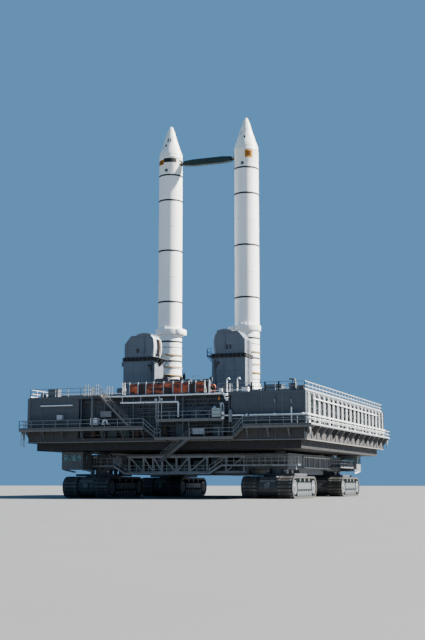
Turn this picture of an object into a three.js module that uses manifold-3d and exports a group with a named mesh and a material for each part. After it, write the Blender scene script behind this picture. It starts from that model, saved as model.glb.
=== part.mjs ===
// Two solid rocket boosters, tied at the nose, on their launch platform and its tracked carrier.
// Sizes are metres of the full-size machine, and the model is half size, in millimetres.
// +X runs along the line through both boosters and +Y away from the service masts, with +Z up.
// The origin is on the ground under the middle of the platform.

import * as THREE from 'three';
import { mergeVertices } from 'three/addons/utils/BufferGeometryUtils.js';
import Module from 'manifold-3d';

const wasm = await Module();
wasm.setup();

// Driving dimensions

const MODEL_SCALE = 1 / 2;
const MM_PER_METRE = 1000 * MODEL_SCALE;
const SEAT = 0.3 / MM_PER_METRE; // left between two pieces that rest on each other
const ROUND_SIDES = 32;

const PLATFORM = {
  halfX: 20.575, halfY: 24.385, bottom: 6.64, deck: 14.26, skirtTop: 7.77, skirtInset: 0.9,
};
const BOOSTER = { x: 6.36, y: -6.1, radius: 1.854, lift: 0.6 };
const MAST = { x: 7.0, y: -14.7, halfX: 2.5, halfY: 1.6 };
const TRUCK = { x: 13.7, y: 13.7, beltInner: 1.37, beltOuter: 3.66 };
const TRACK = { halfRun: 4.725, radius: 1.525, thickness: 0.28, shoes: 57, notch: 0.12, lip: 0.07 };
const CHASSIS = { half: 15.3, bottom: 4.1, top: 6.25, bellyBottom: 3.4 };
const CARRIER_WALK = { level: 4.65, low: 3.55, width: 1.1, thickness: 0.15, outer: 17.2 };
const WALK = { level: 9.75, thickness: 0.14, width: 1.05 };

// Paints

const paint = (color, roughness, metalness) => (
  new THREE.MeshStandardMaterial({ color, roughness, metalness })
);
const WHITE = paint(0xf2f2ee, 0.5, 0);
const SKIRT_WHITE = paint(0xe6eae2, 0.55, 0);
const PLATFORM_GREY = paint(0x5d6670, 0.6, 0.1);
const MAST_GREY = paint(0x4c5663, 0.6, 0.1);
const WALK_GREY = paint(0x8a8f94, 0.6, 0.2);
const CARRIER_GREY = paint(0x6f7880, 0.6, 0.2);
const DARK_STEEL = paint(0x2c2f31, 0.7, 0.5);
const BEAM_GREEN = paint(0x14302a, 0.6, 0.1);
const RUST_BROWN = paint(0x6a4a32, 0.8, 0.2);
const GUARD_ORANGE = paint(0xc4532a, 0.7, 0);
const NOZZLE_BLACK = paint(0x26241f, 0.8, 0.1);

// Solids from three.js geometry, in metres

function toSolid(geometry) {
  const bare = geometry.clone();
  bare.deleteAttribute('normal');
  bare.deleteAttribute('uv');
  const merged = mergeVertices(bare, 1e-5);
  const index = merged.index.array;
  const at = (i) => new THREE.Vector3().fromBufferAttribute(merged.attributes.position, i);
  const corners = [];
  let volume = 0;
  for (let i = 0; i < index.length; i += 3) {
    const [a, b, c] = [index[i], index[i + 1], index[i + 2]];
    if (a === b || b === c || c === a) continue;
    corners.push([a, b, c]);
    volume += at(a).dot(at(b).cross(at(c)));
  }
  const triVerts = Uint32Array.from(corners.flatMap(([a, b, c]) => (volume < 0 ? [a, c, b] : [a, b, c])));
  const vertProperties = Float32Array.from(merged.attributes.position.array);
  return new wasm.Manifold(new wasm.Mesh({ numProp: 3, vertProperties, triVerts }));
}

function box(x0, x1, y0, y1, z0, z1) {
  const geometry = new THREE.BoxGeometry(x1 - x0, y1 - y0, z1 - z0);
  geometry.translate((x0 + x1) / 2, (y0 + y1) / 2, (z0 + z1) / 2);
  return toSolid(geometry);
}

// The outline's two numbers are y and z along x, x and z along y, and x and y along z.
function prism(axis, outline, from, to, hole) {
  const points = (list) => list.map(([u, v]) => new THREE.Vector2(u, v));
  const shape = new THREE.Shape(points(outline));
  if (hole) shape.holes.push(new THREE.Path(points(hole)));
  const geometry = new THREE.ExtrudeGeometry(shape, { depth: to - from, bevelEnabled: false });
  const turn = {
    x: new THREE.Matrix4().set(0, 0, 1, from, 1, 0, 0, 0, 0, 1, 0, 0, 0, 0, 0, 1),
    y: new THREE.Matrix4().set(1, 0, 0, 0, 0, 0, -1, to, 0, 1, 0, 0, 0, 0, 0, 1),
    z: new THREE.Matrix4().makeTranslation(0, 0, from),
  };
  geometry.applyMatrix4(turn[axis]);
  return toSolid(geometry);
}

// The profile holds a radius and a height for each point.
function lathe(profile, sides = ROUND_SIDES) {
  const geometry = new THREE.LatheGeometry(profile.map(([r, z]) => new THREE.Vector2(r, z)), sides);
  geometry.rotateX(Math.PI / 2);
  return toSolid(geometry);
}

const drum = (r, z0, z1, sides) => lathe([[0, z0], [r, z0], [r, z1], [0, z1]], sides);

// A round bar along y
function axle(x, z, r, y0, y1, sides = 16) {
  const geometry = new THREE.CylinderGeometry(r, r, y1 - y0, sides);
  geometry.translate(x, (y0 + y1) / 2, z);
  return toSolid(geometry);
}

const union = (...solids) => solids.flat().reduce((sum, solid) => sum.add(solid));
const steps = (count) => Array.from({ length: count }, (_, i) => i);
const BOTH = [-1, 1];

// Points on a circle from one angle to another, in degrees
function arc(cx, cz, r, fromDeg, toDeg, count) {
  return steps(count + 1).map((i) => {
    const angle = THREE.MathUtils.degToRad(fromDeg + ((toDeg - fromDeg) * i) / count);
    return [cx + r * Math.cos(angle), cz + r * Math.sin(angle)];
  });
}

// A sloping flat bar between two points seen along y, as deep as given
function strut(x0, z0, x1, z1, depth, y0, y1) {
  const length = Math.hypot(x1 - x0, z1 - z0);
  const [nx, nz] = [(-(z1 - z0) / length) * depth * 0.5, ((x1 - x0) / length) * depth * 0.5];
  const outline = [[x0 - nx, z0 - nz], [x1 - nx, z1 - nz], [x1 + nx, z1 + nz], [x0 + nx, z0 + nz]];
  return prism('y', outline, y0, y1);
}

function piece(parent, name, solid, material) {
  const { vertProperties, triVerts } = solid.getMesh();
  const geometry = new THREE.BufferGeometry();
  geometry.setAttribute('position', new THREE.BufferAttribute(Float32Array.from(vertProperties), 3));
  geometry.setIndex(new THREE.BufferAttribute(Uint32Array.from(triVerts), 1));
  geometry.scale(MM_PER_METRE, MM_PER_METRE, MM_PER_METRE);
  geometry.computeVertexNormals();
  const mesh = new THREE.Mesh(geometry, material);
  mesh.name = name;
  parent.add(mesh);
}

function groupAt(parent, x, y, z, turn = 0) {
  const group = new THREE.Group();
  group.position.set(x, y, z).multiplyScalar(MM_PER_METRE);
  group.rotation.z = turn;
  parent.add(group);
  return group;
}

const model = new THREE.Group();

// Tracked trucks, each with a frame that runs through its two belts

// A point on the belt's loop, a length along its outer face, at a radius about its end wheels
function loopPoint(along, radius) {
  const straight = 2 * TRACK.halfRun;
  const half = straight + Math.PI * TRACK.radius;
  const side = along % (2 * half) < half ? 1 : -1;
  const run = along % half;
  if (run < straight) return [side * (TRACK.halfRun - run), TRACK.radius + side * radius];
  const angle = (run - straight) / TRACK.radius;
  const [across, up] = [radius * Math.sin(angle), radius * Math.cos(angle)];
  return [side * (-TRACK.halfRun - across), TRACK.radius + side * up];
}

const END_STEPS = 6;
function plainLoop(radius) {
  const turned = arc(0, 0, radius, 90, 270, END_STEPS);
  const at = (side) => ([y, z]) => [side * (y - TRACK.halfRun), TRACK.radius + side * z];
  return [...turned.map(at(1)), ...turned.map(at(-1))];
}

// Each shoe has a flat sole, with a notch between it and the next one.
function shoeLoop() {
  const length = 4 * TRACK.halfRun + 2 * Math.PI * TRACK.radius;
  const pitch = length / TRACK.shoes;
  return steps(TRACK.shoes).flatMap((i) => [
    loopPoint((i * pitch + TRACK.lip) % length, TRACK.radius),
    loopPoint(((i + 1) * pitch - TRACK.lip) % length, TRACK.radius),
    loopPoint(((i + 1) * pitch) % length, TRACK.radius - TRACK.notch),
  ]);
}

function belt() {
  return prism('x', shoeLoop(), TRUCK.beltInner, TRUCK.beltOuter, plainLoop(TRACK.radius - TRACK.thickness));
}

const BOLSTER_TOP = 3.42;
const BOLSTER_BOTTOM = 3.12;
const SOCKET = { radius: 1.0, bottom: 1.6 };

function truckFrame() {
  const rollerBeam = prism('x', plainLoop(TRACK.radius - TRACK.thickness - SEAT), -3.56, 3.56);
  const spine = box(-1.3, 1.3, -5.3, 5.3, 0.7, 2.9);
  const neck = box(-1.3, 1.3, -3.2, 3.2, 2.8, BOLSTER_TOP);
  const bolster = box(-3.1, 3.1, -3.1, 3.1, BOLSTER_BOTTOM, BOLSTER_TOP);
  const socket = drum(SOCKET.radius, SOCKET.bottom, BOLSTER_TOP + 1, 20);
  return union(rollerBeam, spine, neck, bolster).subtract(socket);
}

for (const [end, sideY] of [['near', -1], ['far', 1]]) {
  for (const [hand, sideX] of [['left', -1], ['right', 1]]) {
    const truck = groupAt(model, sideX * TRUCK.x, sideY * TRUCK.y, 0);
    piece(truck, `truck_${end}_${hand}_frame`, truckFrame(), DARK_STEEL);
    const outer = sideX > 0 ? belt() : belt().mirror([1, 0, 0]);
    const inner = sideX > 0 ? belt().mirror([1, 0, 0]) : belt();
    piece(truck, `truck_${end}_${hand}_outer_belt`, outer, DARK_STEEL);
    piece(truck, `truck_${end}_${hand}_inner_belt`, inner, DARK_STEEL);
  }
}

// Carrier chassis, with a guide tube, jacks and a lifting post over each truck

function cornerGear(sideX, sideY) {
  const collar = lathe([[0, 1.75], [0.94, 1.75], [0.94, BOLSTER_TOP + SEAT], [1.3, BOLSTER_TOP + SEAT],
    [1.3, CHASSIS.bottom + 0.1], [0, CHASSIS.bottom + 0.1]], 20);
  const jack = drum(0.3, BOLSTER_TOP + 0.05, CHASSIS.bottom + 0.1, 8);
  const jacks = BOTH.flatMap((i) => BOTH.map((j) => jack.translate([i * 1.28, j * 1.28, 0])));
  const post = drum(0.7, CHASSIS.top - 0.1, PLATFORM.bottom - SEAT, 12);
  return union(collar, jacks, post).translate([sideX * TRUCK.x, sideY * TRUCK.y, 0]);
}

// The open end of the chassis, a recess with a truss across it between the trucks
const END_BAY = { half: 9.2, depth: 1.1, bottom: 3.55, top: 6.0 };
const TRUSS = {
  bar: 0.26, thickness: 0.3, uprights: [-8.9, -6.6, -5.1, -3.65, -1.4, 0.57, 3.35, 6.2, 8.9], falling: 4,
};

function endTruss() {
  const { bar, thickness, uprights, falling } = TRUSS;
  const [bottom, top] = [END_BAY.bottom + SEAT, END_BAY.top - SEAT];
  const [face, back] = [-CHASSIS.half, -CHASSIS.half + thickness];
  const end = END_BAY.half - SEAT;
  const chords = [bottom, top - bar].map((z) => box(-end, end, face, back, z, z + bar));
  const posts = uprights.map((x) => box(x - bar / 2, x + bar / 2, face, back, bottom, top));
  const diagonals = uprights.slice(1).map((x, i) => {
    const [z0, z1] = i < falling ? [top - bar / 2, bottom + bar / 2] : [bottom + bar / 2, top - bar / 2];
    return strut(uprights[i], z0, x, z1, bar * 0.8, face + 0.03, back - 0.03);
  });
  return union(chords, posts, diagonals);
}

// The walkway steps down across the end bay and back up, and runs on round one corner to the cab.
const DIP = { left: -10.9, leftFoot: -9.1, rightFoot: 4.1, right: 5.9, back: -8 };

function carrierWalk() {
  const { level, low, width, thickness, outer } = CARRIER_WALK;
  const [joined, clear, front] = [-CHASSIS.half + 0.1, -CHASSIS.half - SEAT, -CHASSIS.half - width];
  const slab = (x0, x1, y0, y1, z) => box(x0, x1, y0, y1, z - thickness, z);
  const half = thickness / 2;
  return [
    slab(-outer, DIP.left, front, joined, level),
    strut(DIP.left, level - half, DIP.leftFoot, low - half, thickness, front, clear),
    slab(DIP.leftFoot, DIP.rightFoot, front, joined, low),
    strut(DIP.rightFoot, low - half, DIP.right, level - half, thickness, front, clear),
    slab(DIP.right, outer, front, clear, level),
    slab(END_BAY.half + 0.1, CHASSIS.half, front, joined, level),
    slab(-outer, -CHASSIS.half + 0.1, front, DIP.back, level),
  ];
}

const CAB = { x0: -17.7, x1: -14.3, y0: -19.6, y1: -16.7, floor: 4.35, roof: 6.5, wall: 0.12 };

function chassis() {
  const { half, bottom, top, bellyBottom } = CHASSIS;
  const slab = box(-half, half, -half, half, bottom, top);
  const belly = [box(-9.6, 9.6, -half, half, bellyBottom, bottom + 0.1),
    box(-14.6, 14.6, -6.8, 6.8, bellyBottom, bottom + 0.1)];
  const recess = box(-END_BAY.half, END_BAY.half, -half - 1, -half + END_BAY.depth,
    END_BAY.bottom, END_BAY.top);
  const cabShelf = box(CAB.x0, CAB.x1, CAB.y0, -half + 0.1, CAB.floor - 0.3, CAB.floor - SEAT);
  const oneEnd = union(carrierWalk(), cabShelf);
  const corners = BOTH.flatMap((i) => BOTH.map((j) => cornerGear(i, j)));
  const body = union(slab, belly).subtract(recess).subtract(recess.rotate([0, 0, 180]));
  return union(body, oneEnd, oneEnd.rotate([0, 0, 180]), corners);
}

piece(model, 'carrier_chassis', chassis(), CARRIER_GREY);
piece(model, 'carrier_truss_near', endTruss(), CARRIER_GREY);
piece(groupAt(model, 0, 0, 0, Math.PI), 'carrier_truss_far', endTruss(), CARRIER_GREY);

// Driving cabs at two opposite corners, hollow, with glazed openings and a side door

const DOOR = { y0: -18.9, y1: -18.0, bottom: 4.5, top: 6.25, thickness: 0.06 };

function cabShell() {
  const { x0, x1, y0, y1, floor, roof, wall } = CAB;
  const room = box(x0 + wall, x1 - wall, y0 + wall, y1 - wall, floor + wall, roof - wall);
  const [sill, head] = [floor + 0.9, roof - 0.3];
  const endWindow = box(x0 + 0.3, x1 - 0.3, y0 - 1, y0 + 0.5, sill, head);
  const backWindow = box(x0 + 0.3, x1 - 0.3, y1 - 0.5, y1 + 1, sill, head);
  const sideWindow = box(x0 - 1, x0 + 0.5, y0 + 0.3, y1 - 0.3, sill, head);
  const doorway = box(x1 - 0.5, x1 + 1, DOOR.y0, DOOR.y1, DOOR.bottom, DOOR.top);
  const shell = box(x0, x1, y0, y1, floor, roof);
  return union(shell).subtract(union(room, endWindow, backWindow, sideWindow, doorway));
}

// The door laps the doorway's outside, hung on a round post at its far edge.
const DOOR_LAP = 0.08;
const DOOR_PIN = { x: CAB.x1 + 0.07, y: DOOR.y1 + 0.14, radius: 0.05 };

function cabDoor() {
  const x0 = CAB.x1 + 0.02;
  const [bottom, top] = [DOOR.bottom - DOOR_LAP, DOOR.top + DOOR_LAP];
  const panel = box(x0, x0 + DOOR.thickness, DOOR.y0 - DOOR_LAP, DOOR.y1 + DOOR_LAP, bottom, top);
  const window = box(x0 - 1, x0 + 1, DOOR.y0 + 0.15, DOOR.y1 - 0.15, 5.4, DOOR.top - 0.15);
  const post = drum(DOOR_PIN.radius, bottom, top, 12).translate([DOOR_PIN.x, DOOR_PIN.y, 0]);
  const strap = box(x0, x0 + DOOR.thickness, DOOR.y1, DOOR_PIN.y, DOOR.bottom, DOOR.top);
  return union(panel.subtract(window), strap, post);
}

// Two small ears on the cab hold the door's post from below and above.
function doorEars() {
  const ear = (z0, z1) => box(CAB.x1 - 0.02, CAB.x1 + 0.13, DOOR_PIN.y - 0.06, DOOR_PIN.y + 0.06, z0, z1);
  const below = DOOR.bottom - DOOR_LAP - SEAT;
  const above = DOOR.top + DOOR_LAP + SEAT;
  return [ear(below - 0.04, below), ear(above, above + 0.04)];
}

for (const [end, turn] of [['near', 0], ['far', Math.PI]]) {
  const corner = groupAt(model, 0, 0, 0, turn);
  piece(corner, `cab_${end}_shell`, union(cabShell(), doorEars()), CARRIER_GREY);
  piece(corner, `cab_${end}_door`, cabDoor(), CARRIER_GREY);
}

// Platform hull, with three exhaust wells through it and a service bay in its near face

const WELLS = [ // x and y of the low corner, then of the high corner
  [-BOOSTER.x - 3.05, -9.7, -BOOSTER.x + 3.05, 3.1],
  [BOOSTER.x - 3.05, -9.7, BOOSTER.x + 3.05, 3.1],
  [-4.45, -21.9, 4.45, -11.6],
];
const BAY = { x0: -12.6, x1: 10.2, depth: 1.3, bottom: 8.3, top: 13.85 };
const RIB = { width: 0.16, proud: 0.2, bottom: 10.2, top: 13.95, pitch: 2.6 };

function sideRibs(halfAcross, halfAlong) {
  const count = Math.floor((2 * halfAlong) / RIB.pitch) + 1;
  const first = (-(count - 1) * RIB.pitch) / 2;
  return steps(count).map((i) => {
    const y = first + i * RIB.pitch;
    return box(halfAcross - 0.05, halfAcross + RIB.proud, y - RIB.width / 2, y + RIB.width / 2,
      RIB.bottom, RIB.top);
  });
}

function hull() {
  const { halfX, halfY, bottom, deck, skirtTop, skirtInset } = PLATFORM;
  const upper = box(-halfX, halfX, -halfY, halfY, skirtTop, deck);
  const [lowX, lowY] = [halfX - skirtInset, halfY - skirtInset];
  const lower = box(-lowX, lowX, -lowY, lowY, bottom, skirtTop + 0.1);
  const wells = WELLS.map(([x0, y0, x1, y1]) => box(x0, x1, y0, y1, bottom - 1, deck + 1));
  const bay = box(BAY.x0, BAY.x1, -halfY - 1, -halfY + BAY.depth, BAY.bottom, BAY.top);
  const side = union(sideRibs(halfX, halfY - 0.4));
  const far = union(sideRibs(halfY, halfX - 0.4)).rotate([0, 0, 90]);
  return union(upper, lower, side, side.rotate([0, 0, 180]), far).subtract(union(wells, bay));
}

piece(model, 'platform_hull', hull(), PLATFORM_GREY);

// Walkways round the platform, a step below its middle, on gussets

function gusset(x, reach = WALK.width, level = WALK.level) {
  const top = level - WALK.thickness + 0.02;
  const wall = -PLATFORM.halfY - SEAT;
  const end = wall - reach + 0.1;
  const outline = [[wall, top], [end, top], [end, top - 0.2], [wall, top - 1.5]];
  return prism('x', outline, x - 0.06, x + 0.06);
}

// A walkway along the near wall, from one x to another
function walkway(x0, x1, level = WALK.level) {
  const wall = -PLATFORM.halfY - SEAT;
  const slab = box(x0, x1, wall - WALK.width, wall, level - WALK.thickness, level);
  const bays = Math.max(1, Math.round((x1 - x0) / 3.4));
  const spacing = (x1 - x0 - 0.8) / bays;
  const brackets = steps(bays + 1).map((i) => gusset(x0 + 0.4 + i * spacing, WALK.width, level));
  return union(slab, brackets);
}

const LOW_WALK = { level: 8.3, x0: -0.5, x1: 10.9 };
const NEAR_WALK = { leftEnd: -2.15, rightStart: 12.2 };
const BAY_FLOOR = { x0: -0.4, x1: 9.4, level: 10.65 };
const DECK_STAIR = { top: -8.9, foot: -4.3, front: 0.1, width: 0.8 };
const LANDING = { x0: -10.3, x1: -8.7 };
const BOARDING = { top: 4.6, foot: 0.4, level: 5.15, width: 0.85 };

function nearWalkway() {
  const wall = -PLATFORM.halfY - SEAT;
  const edge = wall - WALK.width;
  const reachX = PLATFORM.halfX + WALK.width + SEAT;
  const half = WALK.thickness / 2;
  const flight = (x0, z0, x1, z1, y0, y1) => strut(x0, z0 - half, x1, z1 - half, 0.26, y0, y1);
  const slab = (x0, x1, y0, y1, z) => box(x0, x1, y0, y1, z - WALK.thickness, z);
  const lowBrackets = [1, 4, 7, 10].map((x) => prism('x', [[wall, LOW_WALK.level - 0.1],
    [edge + 0.1, LOW_WALK.level - 0.1], [edge + 0.1, LOW_WALK.level - 0.25], [wall, LOW_WALK.level - 0.7]],
  x - 0.06, x + 0.06));
  const lane = [edge + DECK_STAIR.front, edge + DECK_STAIR.front + DECK_STAIR.width];
  const deckLevel = PLATFORM.deck - 0.05;
  const bayLevel = BAY_FLOOR.level;
  const bayPosts = [BAY_FLOOR.x0 + 0.1, 4.4, BAY_FLOOR.x1 - 0.1].map((x) =>
    box(x - 0.09, x + 0.09, edge + 0.25, edge + 0.43, LOW_WALK.level - 0.1, bayLevel - 0.05));
  return union(
    walkway(-reachX, NEAR_WALK.leftEnd),
    walkway(NEAR_WALK.rightStart, reachX),
    slab(LOW_WALK.x0, LOW_WALK.x1, edge, wall, LOW_WALK.level),
    lowBrackets,
    flight(NEAR_WALK.leftEnd - 0.1, WALK.level, LOW_WALK.x0 + 0.15, LOW_WALK.level, edge, wall),
    flight(LOW_WALK.x1 - 0.15, LOW_WALK.level, NEAR_WALK.rightStart + 0.1, WALK.level, edge, wall),
    flight(DECK_STAIR.foot, WALK.level, DECK_STAIR.top, deckLevel, ...lane),
    slab(LANDING.x0, LANDING.x1, lane[0], wall, deckLevel),
    box(LANDING.x0 + 0.1, LANDING.x0 + 0.3, lane[0] + 0.05, lane[0] + 0.25,
      WALK.level - 0.1, deckLevel - 0.1),
    flight(BOARDING.top, LOW_WALK.level, BOARDING.foot, BOARDING.level, edge + 0.02, edge + BOARDING.width),
    slab(BAY_FLOOR.x0, BAY_FLOOR.x1, edge + 0.2, -PLATFORM.halfY + BAY.depth - SEAT, bayLevel),
    bayPosts,
  );
}

piece(model, 'walkway_near', nearWalkway(), WALK_GREY);
piece(groupAt(model, 0, 0, 0, Math.PI), 'walkway_far',
  walkway(-PLATFORM.halfX - WALK.width - SEAT, PLATFORM.halfX + WALK.width + SEAT), WALK_GREY);
for (const [hand, turn] of [['right', Math.PI / 2], ['left', -Math.PI / 2]]) {
  const side = groupAt(model, 0, 0, 0, turn);
  const inset = PLATFORM.halfY - PLATFORM.halfX;
  const run = walkway(-PLATFORM.halfY + SEAT, PLATFORM.halfY - SEAT).translate([0, inset, 0]);
  piece(side, `walkway_${hand}`, run, WALK_GREY);
}

// Guard panels on the near edge of the deck, between posts

const GUARD = { x0: -5.6, x1: 7.0, bays: 11, height: 1.35, y: -PLATFORM.halfY + 0.35 };

function guard() {
  const pitch = (GUARD.x1 - GUARD.x0) / GUARD.bays;
  const base = PLATFORM.deck + SEAT;
  const panel = box(GUARD.x0, GUARD.x1, GUARD.y, GUARD.y + 0.1, base, base + GUARD.height - 0.15);
  const posts = steps(GUARD.bays + 1).map((i) => {
    const x = GUARD.x0 + i * pitch;
    return box(x - 0.07, x + 0.07, GUARD.y - 0.12, GUARD.y + 0.04, base, base + GUARD.height);
  });
  return union(panel, posts);
}

piece(model, 'deck_guard', guard(), GUARD_ORANGE);

// Service masts: a housing with an open bay, its carrier, a gallery and a turning bonnet

const BONNET = { x: 0.7, z: 7.1, inner: 2.62, outer: 2.69, fromDeg: 64.5, toDeg: 115.5 };
const HEAD = { back: -2.42, front: 1.7, halfY: 1.45, base: 6.2, roof: 9.45, chamferX: 1.05, chamferZ: 1.25 };
const FRONT = { x: -1.9, z: 7.8, radius: 4.2, fromDeg: -22.4, toDeg: 16.6 }; // the mouth's rounded edge
const ROOM = { back: -1.7, halfY: 0.75, floor: 6.45, ceiling: 9.05 };
const NECK = { halfX: 2.3, halfY: 1.3, bottom: 5.65 };
const PIVOT = { pin: 0.15, boss: 0.3, proud: 0.03, arm: 0.08, armWidth: 0.26 };

function mastHousing() {
  const { back, halfY, base, roof, chamferX, chamferZ } = HEAD;
  const front = arc(FRONT.x, FRONT.z, FRONT.radius, FRONT.fromDeg, FRONT.toDeg, 6);
  const roofEdge = [[HEAD.front, roof], [back + chamferX, roof], [back, roof - chamferZ]];
  const outline = [[back, base], ...front, ...roofEdge];
  const head = prism('y', outline, -halfY, halfY);
  const room = box(ROOM.back, 4, -ROOM.halfY, ROOM.halfY, ROOM.floor, ROOM.ceiling);
  const block = box(-MAST.halfX, MAST.halfX, -MAST.halfY, MAST.halfY, SEAT, NECK.bottom);
  const neck = box(-NECK.halfX, NECK.halfX, -NECK.halfY, NECK.halfY, NECK.bottom - 0.1, base + 0.1)
    .subtract(box(front[0][0], 3, -3, 3, base, base + 1));
  const pins = BOTH.flatMap((side) => {
    const reach = (from, to) => (side > 0 ? [from, to] : [-to, -from]);
    return [axle(BONNET.x, BONNET.z, PIVOT.boss, ...reach(halfY - 0.1, halfY + PIVOT.proud)),
      axle(BONNET.x, BONNET.z, PIVOT.pin, ...reach(halfY - 0.1, halfY + PIVOT.proud + PIVOT.arm + 0.06))];
  });
  return union(head.subtract(room), block, neck, pins);
}

function bonnet() {
  const { x, z, inner, outer, fromDeg, toDeg } = BONNET;
  const y0 = HEAD.halfY + PIVOT.proud + SEAT;
  const across = y0 + PIVOT.arm;
  const section = [...arc(x, z, outer, fromDeg, toDeg, 8), ...arc(x, z, inner, toDeg, fromDeg, 8)];
  const shell = prism('y', section, -across, across);
  const [[topX, topZ]] = arc(x, z, outer - 0.03, (fromDeg + toDeg) / 2, toDeg, 1);
  const arms = BOTH.map((side) => {
    const [from, to] = side > 0 ? [y0, across] : [-across, -y0];
    const bore = axle(x, z, PIVOT.pin + 0.008, from - 1, to + 1);
    const arm = strut(x, z, topX, topZ, PIVOT.armWidth, from, to);
    return union(arm, axle(x, z, PIVOT.boss, from, to)).subtract(bore);
  });
  return union(shell, arms);
}

const GALLERY = { band: 0.12, bottom: NECK.bottom + SEAT, top: HEAD.base - SEAT, reach: 0.8, floor: 5.9 };

function gallery() {
  const { halfX, halfY } = MAST;
  const { band, bottom, top, reach, floor } = GALLERY;
  const ring = box(-halfX - band, halfX + band, -halfY - band, halfY + band, bottom, top);
  const [innerX, innerY] = [NECK.halfX + SEAT, NECK.halfY + SEAT];
  const around = box(-innerX, innerX, -innerY, innerY, bottom - 1, top + 1);
  const shelf = box(halfX, halfX + reach, -halfY - band, halfY + band, floor, floor + 0.12);
  const wall = halfX + SEAT;
  const support = [[wall, floor + 0.02], [wall, 4.9], [wall + 0.2, 4.9], [halfX + reach - 0.1, floor + 0.02]];
  const knee = prism('y', support, -0.12, 0.12);
  return union(ring, shelf, knee).subtract(around);
}

function mastCarrier() {
  const foot = box(-1.2, 0.6, -0.6, 0.6, ROOM.floor + SEAT, 6.9);
  const column = box(-0.6, 0.2, -0.35, 0.35, 6.8, 8.6);
  const arm = box(-0.3, 1.6, -0.25, 0.25, 7.6, 8.1);
  const plate = box(1.5, 1.75, -0.62, 0.62, 6.75, 8.75);
  return union(foot, column, arm, plate);
}

for (const [hand, side] of [['left', -1], ['right', 1]]) {
  const mast = groupAt(model, side * MAST.x, MAST.y, PLATFORM.deck, side > 0 ? Math.PI : 0);
  piece(mast, `mast_${hand}_housing`, mastHousing(), MAST_GREY);
  piece(mast, `mast_${hand}_carrier`, mastCarrier(), RUST_BROWN);
  piece(mast, `mast_${hand}_gallery`, gallery(), DARK_STEEL);
  piece(mast, `mast_${hand}_bonnet`, bonnet(), MAST_GREY);
}

// Boosters, from the skirt's foot up, with inboard towards local +X

const station = (inches) => (1930 - inches) * 0.0254; // height over the skirt's foot
const JOINTS = {
  skirt: station(1837), aft: station(1491.5), middle: station(1171.5), forward: station(851.5),
};
const NOSE = {
  skirtFoot: station(531.5), frustumFoot: station(395), capFoot: station(275), tip: station(200),
  capRadius: 0.87,
};
const STIFFENERS = [1664, 1739, 1784]; // stations of the rings on the lowest segment
const TUNNEL = {
  halfWidth: 0.14, proud: 0.16, turn: 40, bottom: station(1815), top: NOSE.frustumFoot - 0.4,
};
const BALL = { radius: 0.3, z: 1.95 };

// The tunnel lies on the outboard side, turned towards the far side of the platform.
function tunnelBox(spare) {
  const { halfWidth, proud, bottom, top, turn } = TUNNEL;
  const outer = BOOSTER.radius + proud + spare;
  const half = halfWidth + spare;
  return box(-outer, -BOOSTER.radius * 0.96, -half, half, bottom - spare, top + spare).rotate([0, 0, -turn]);
}

const segment = (from, to) => drum(BOOSTER.radius, from + SEAT, to);

function aftSegment() {
  const r = BOOSTER.radius;
  const foot = JOINTS.skirt + SEAT;
  const rings = [...STIFFENERS].reverse().flatMap((inches) => {
    const z = station(inches);
    return [[r, z - 0.08], [r + 0.12, z], [r, z + 0.08]];
  });
  const body = lathe([[0, foot], [r, foot], ...rings, [r, JOINTS.aft], [0, JOINTS.aft]]);
  const ball = arc(0, BALL.z, BALL.radius, -60, 50, 5);
  const stem = lathe([[0, BALL.z - BALL.radius], ...ball, [0.35, foot + 0.05], [0, foot + 0.05]], 12);
  return union(body, stem).subtract(tunnelBox(SEAT));
}

function systemsTunnel() {
  const core = drum(BOOSTER.radius + SEAT, TUNNEL.bottom - 1, TUNNEL.top + 1);
  return tunnelBox(0).subtract(core);
}

function attachRing() {
  const r = BOOSTER.radius;
  const [low, high] = [9.9, 11.1];
  const ring = lathe([[0, 10.15], [r + 0.26, 10.15], [r + 0.26, 10.95], [0, 10.95]]);
  const edge = [[-0.4, -2.05], [1.3, -2.05], [2.3, -1.45], [2.6, -0.9]];
  const fairing = prism('z', [...edge, ...edge.map(([x, y]) => [x, -y]).reverse()], low, high);
  return union(ring, fairing).subtract(union(drum(r + SEAT, low - 1, high + 1), tunnelBox(SEAT)));
}

function aftSkirt() {
  const [top, r] = [JOINTS.skirt, BOOSTER.radius];
  return lathe([[2.64, 0], [2.6, 0.22], [r, top - 0.25], [r, top], [r - 0.2, top], [r - 0.2, top - 0.3],
    [2.12, 0.3], [2.12, 0], [2.64, 0]]);
}

function nozzle() {
  const cup = arc(0, BALL.z, BALL.radius + 0.01, -90, -20, 4);
  const inside = [[1.62, -1.5], [1.15, -0.2], [0.5, 1.25], [0, 1.25]];
  const outside = [[1.75, -1.5], [1.28, -0.2], [0.72, 1.3], [0.5, cup.at(-1)[1]]];
  const pole = [0, BALL.z - BALL.radius - SEAT];
  return lathe([...inside.toReversed(), ...outside, ...cup.slice(1).toReversed(), pole], 20);
}

function frustum() {
  const foot = NOSE.frustumFoot + SEAT;
  return lathe([[0, foot], [BOOSTER.radius, foot], [NOSE.capRadius, NOSE.capFoot], [0, NOSE.capFoot]]);
}

function noseCap() {
  const foot = NOSE.capFoot + SEAT;
  const dome = [[0.36, NOSE.tip - 0.33], [0.25, NOSE.tip - 0.1], [0, NOSE.tip]];
  return lathe([[0, foot], [NOSE.capRadius, foot], ...dome]);
}

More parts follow.
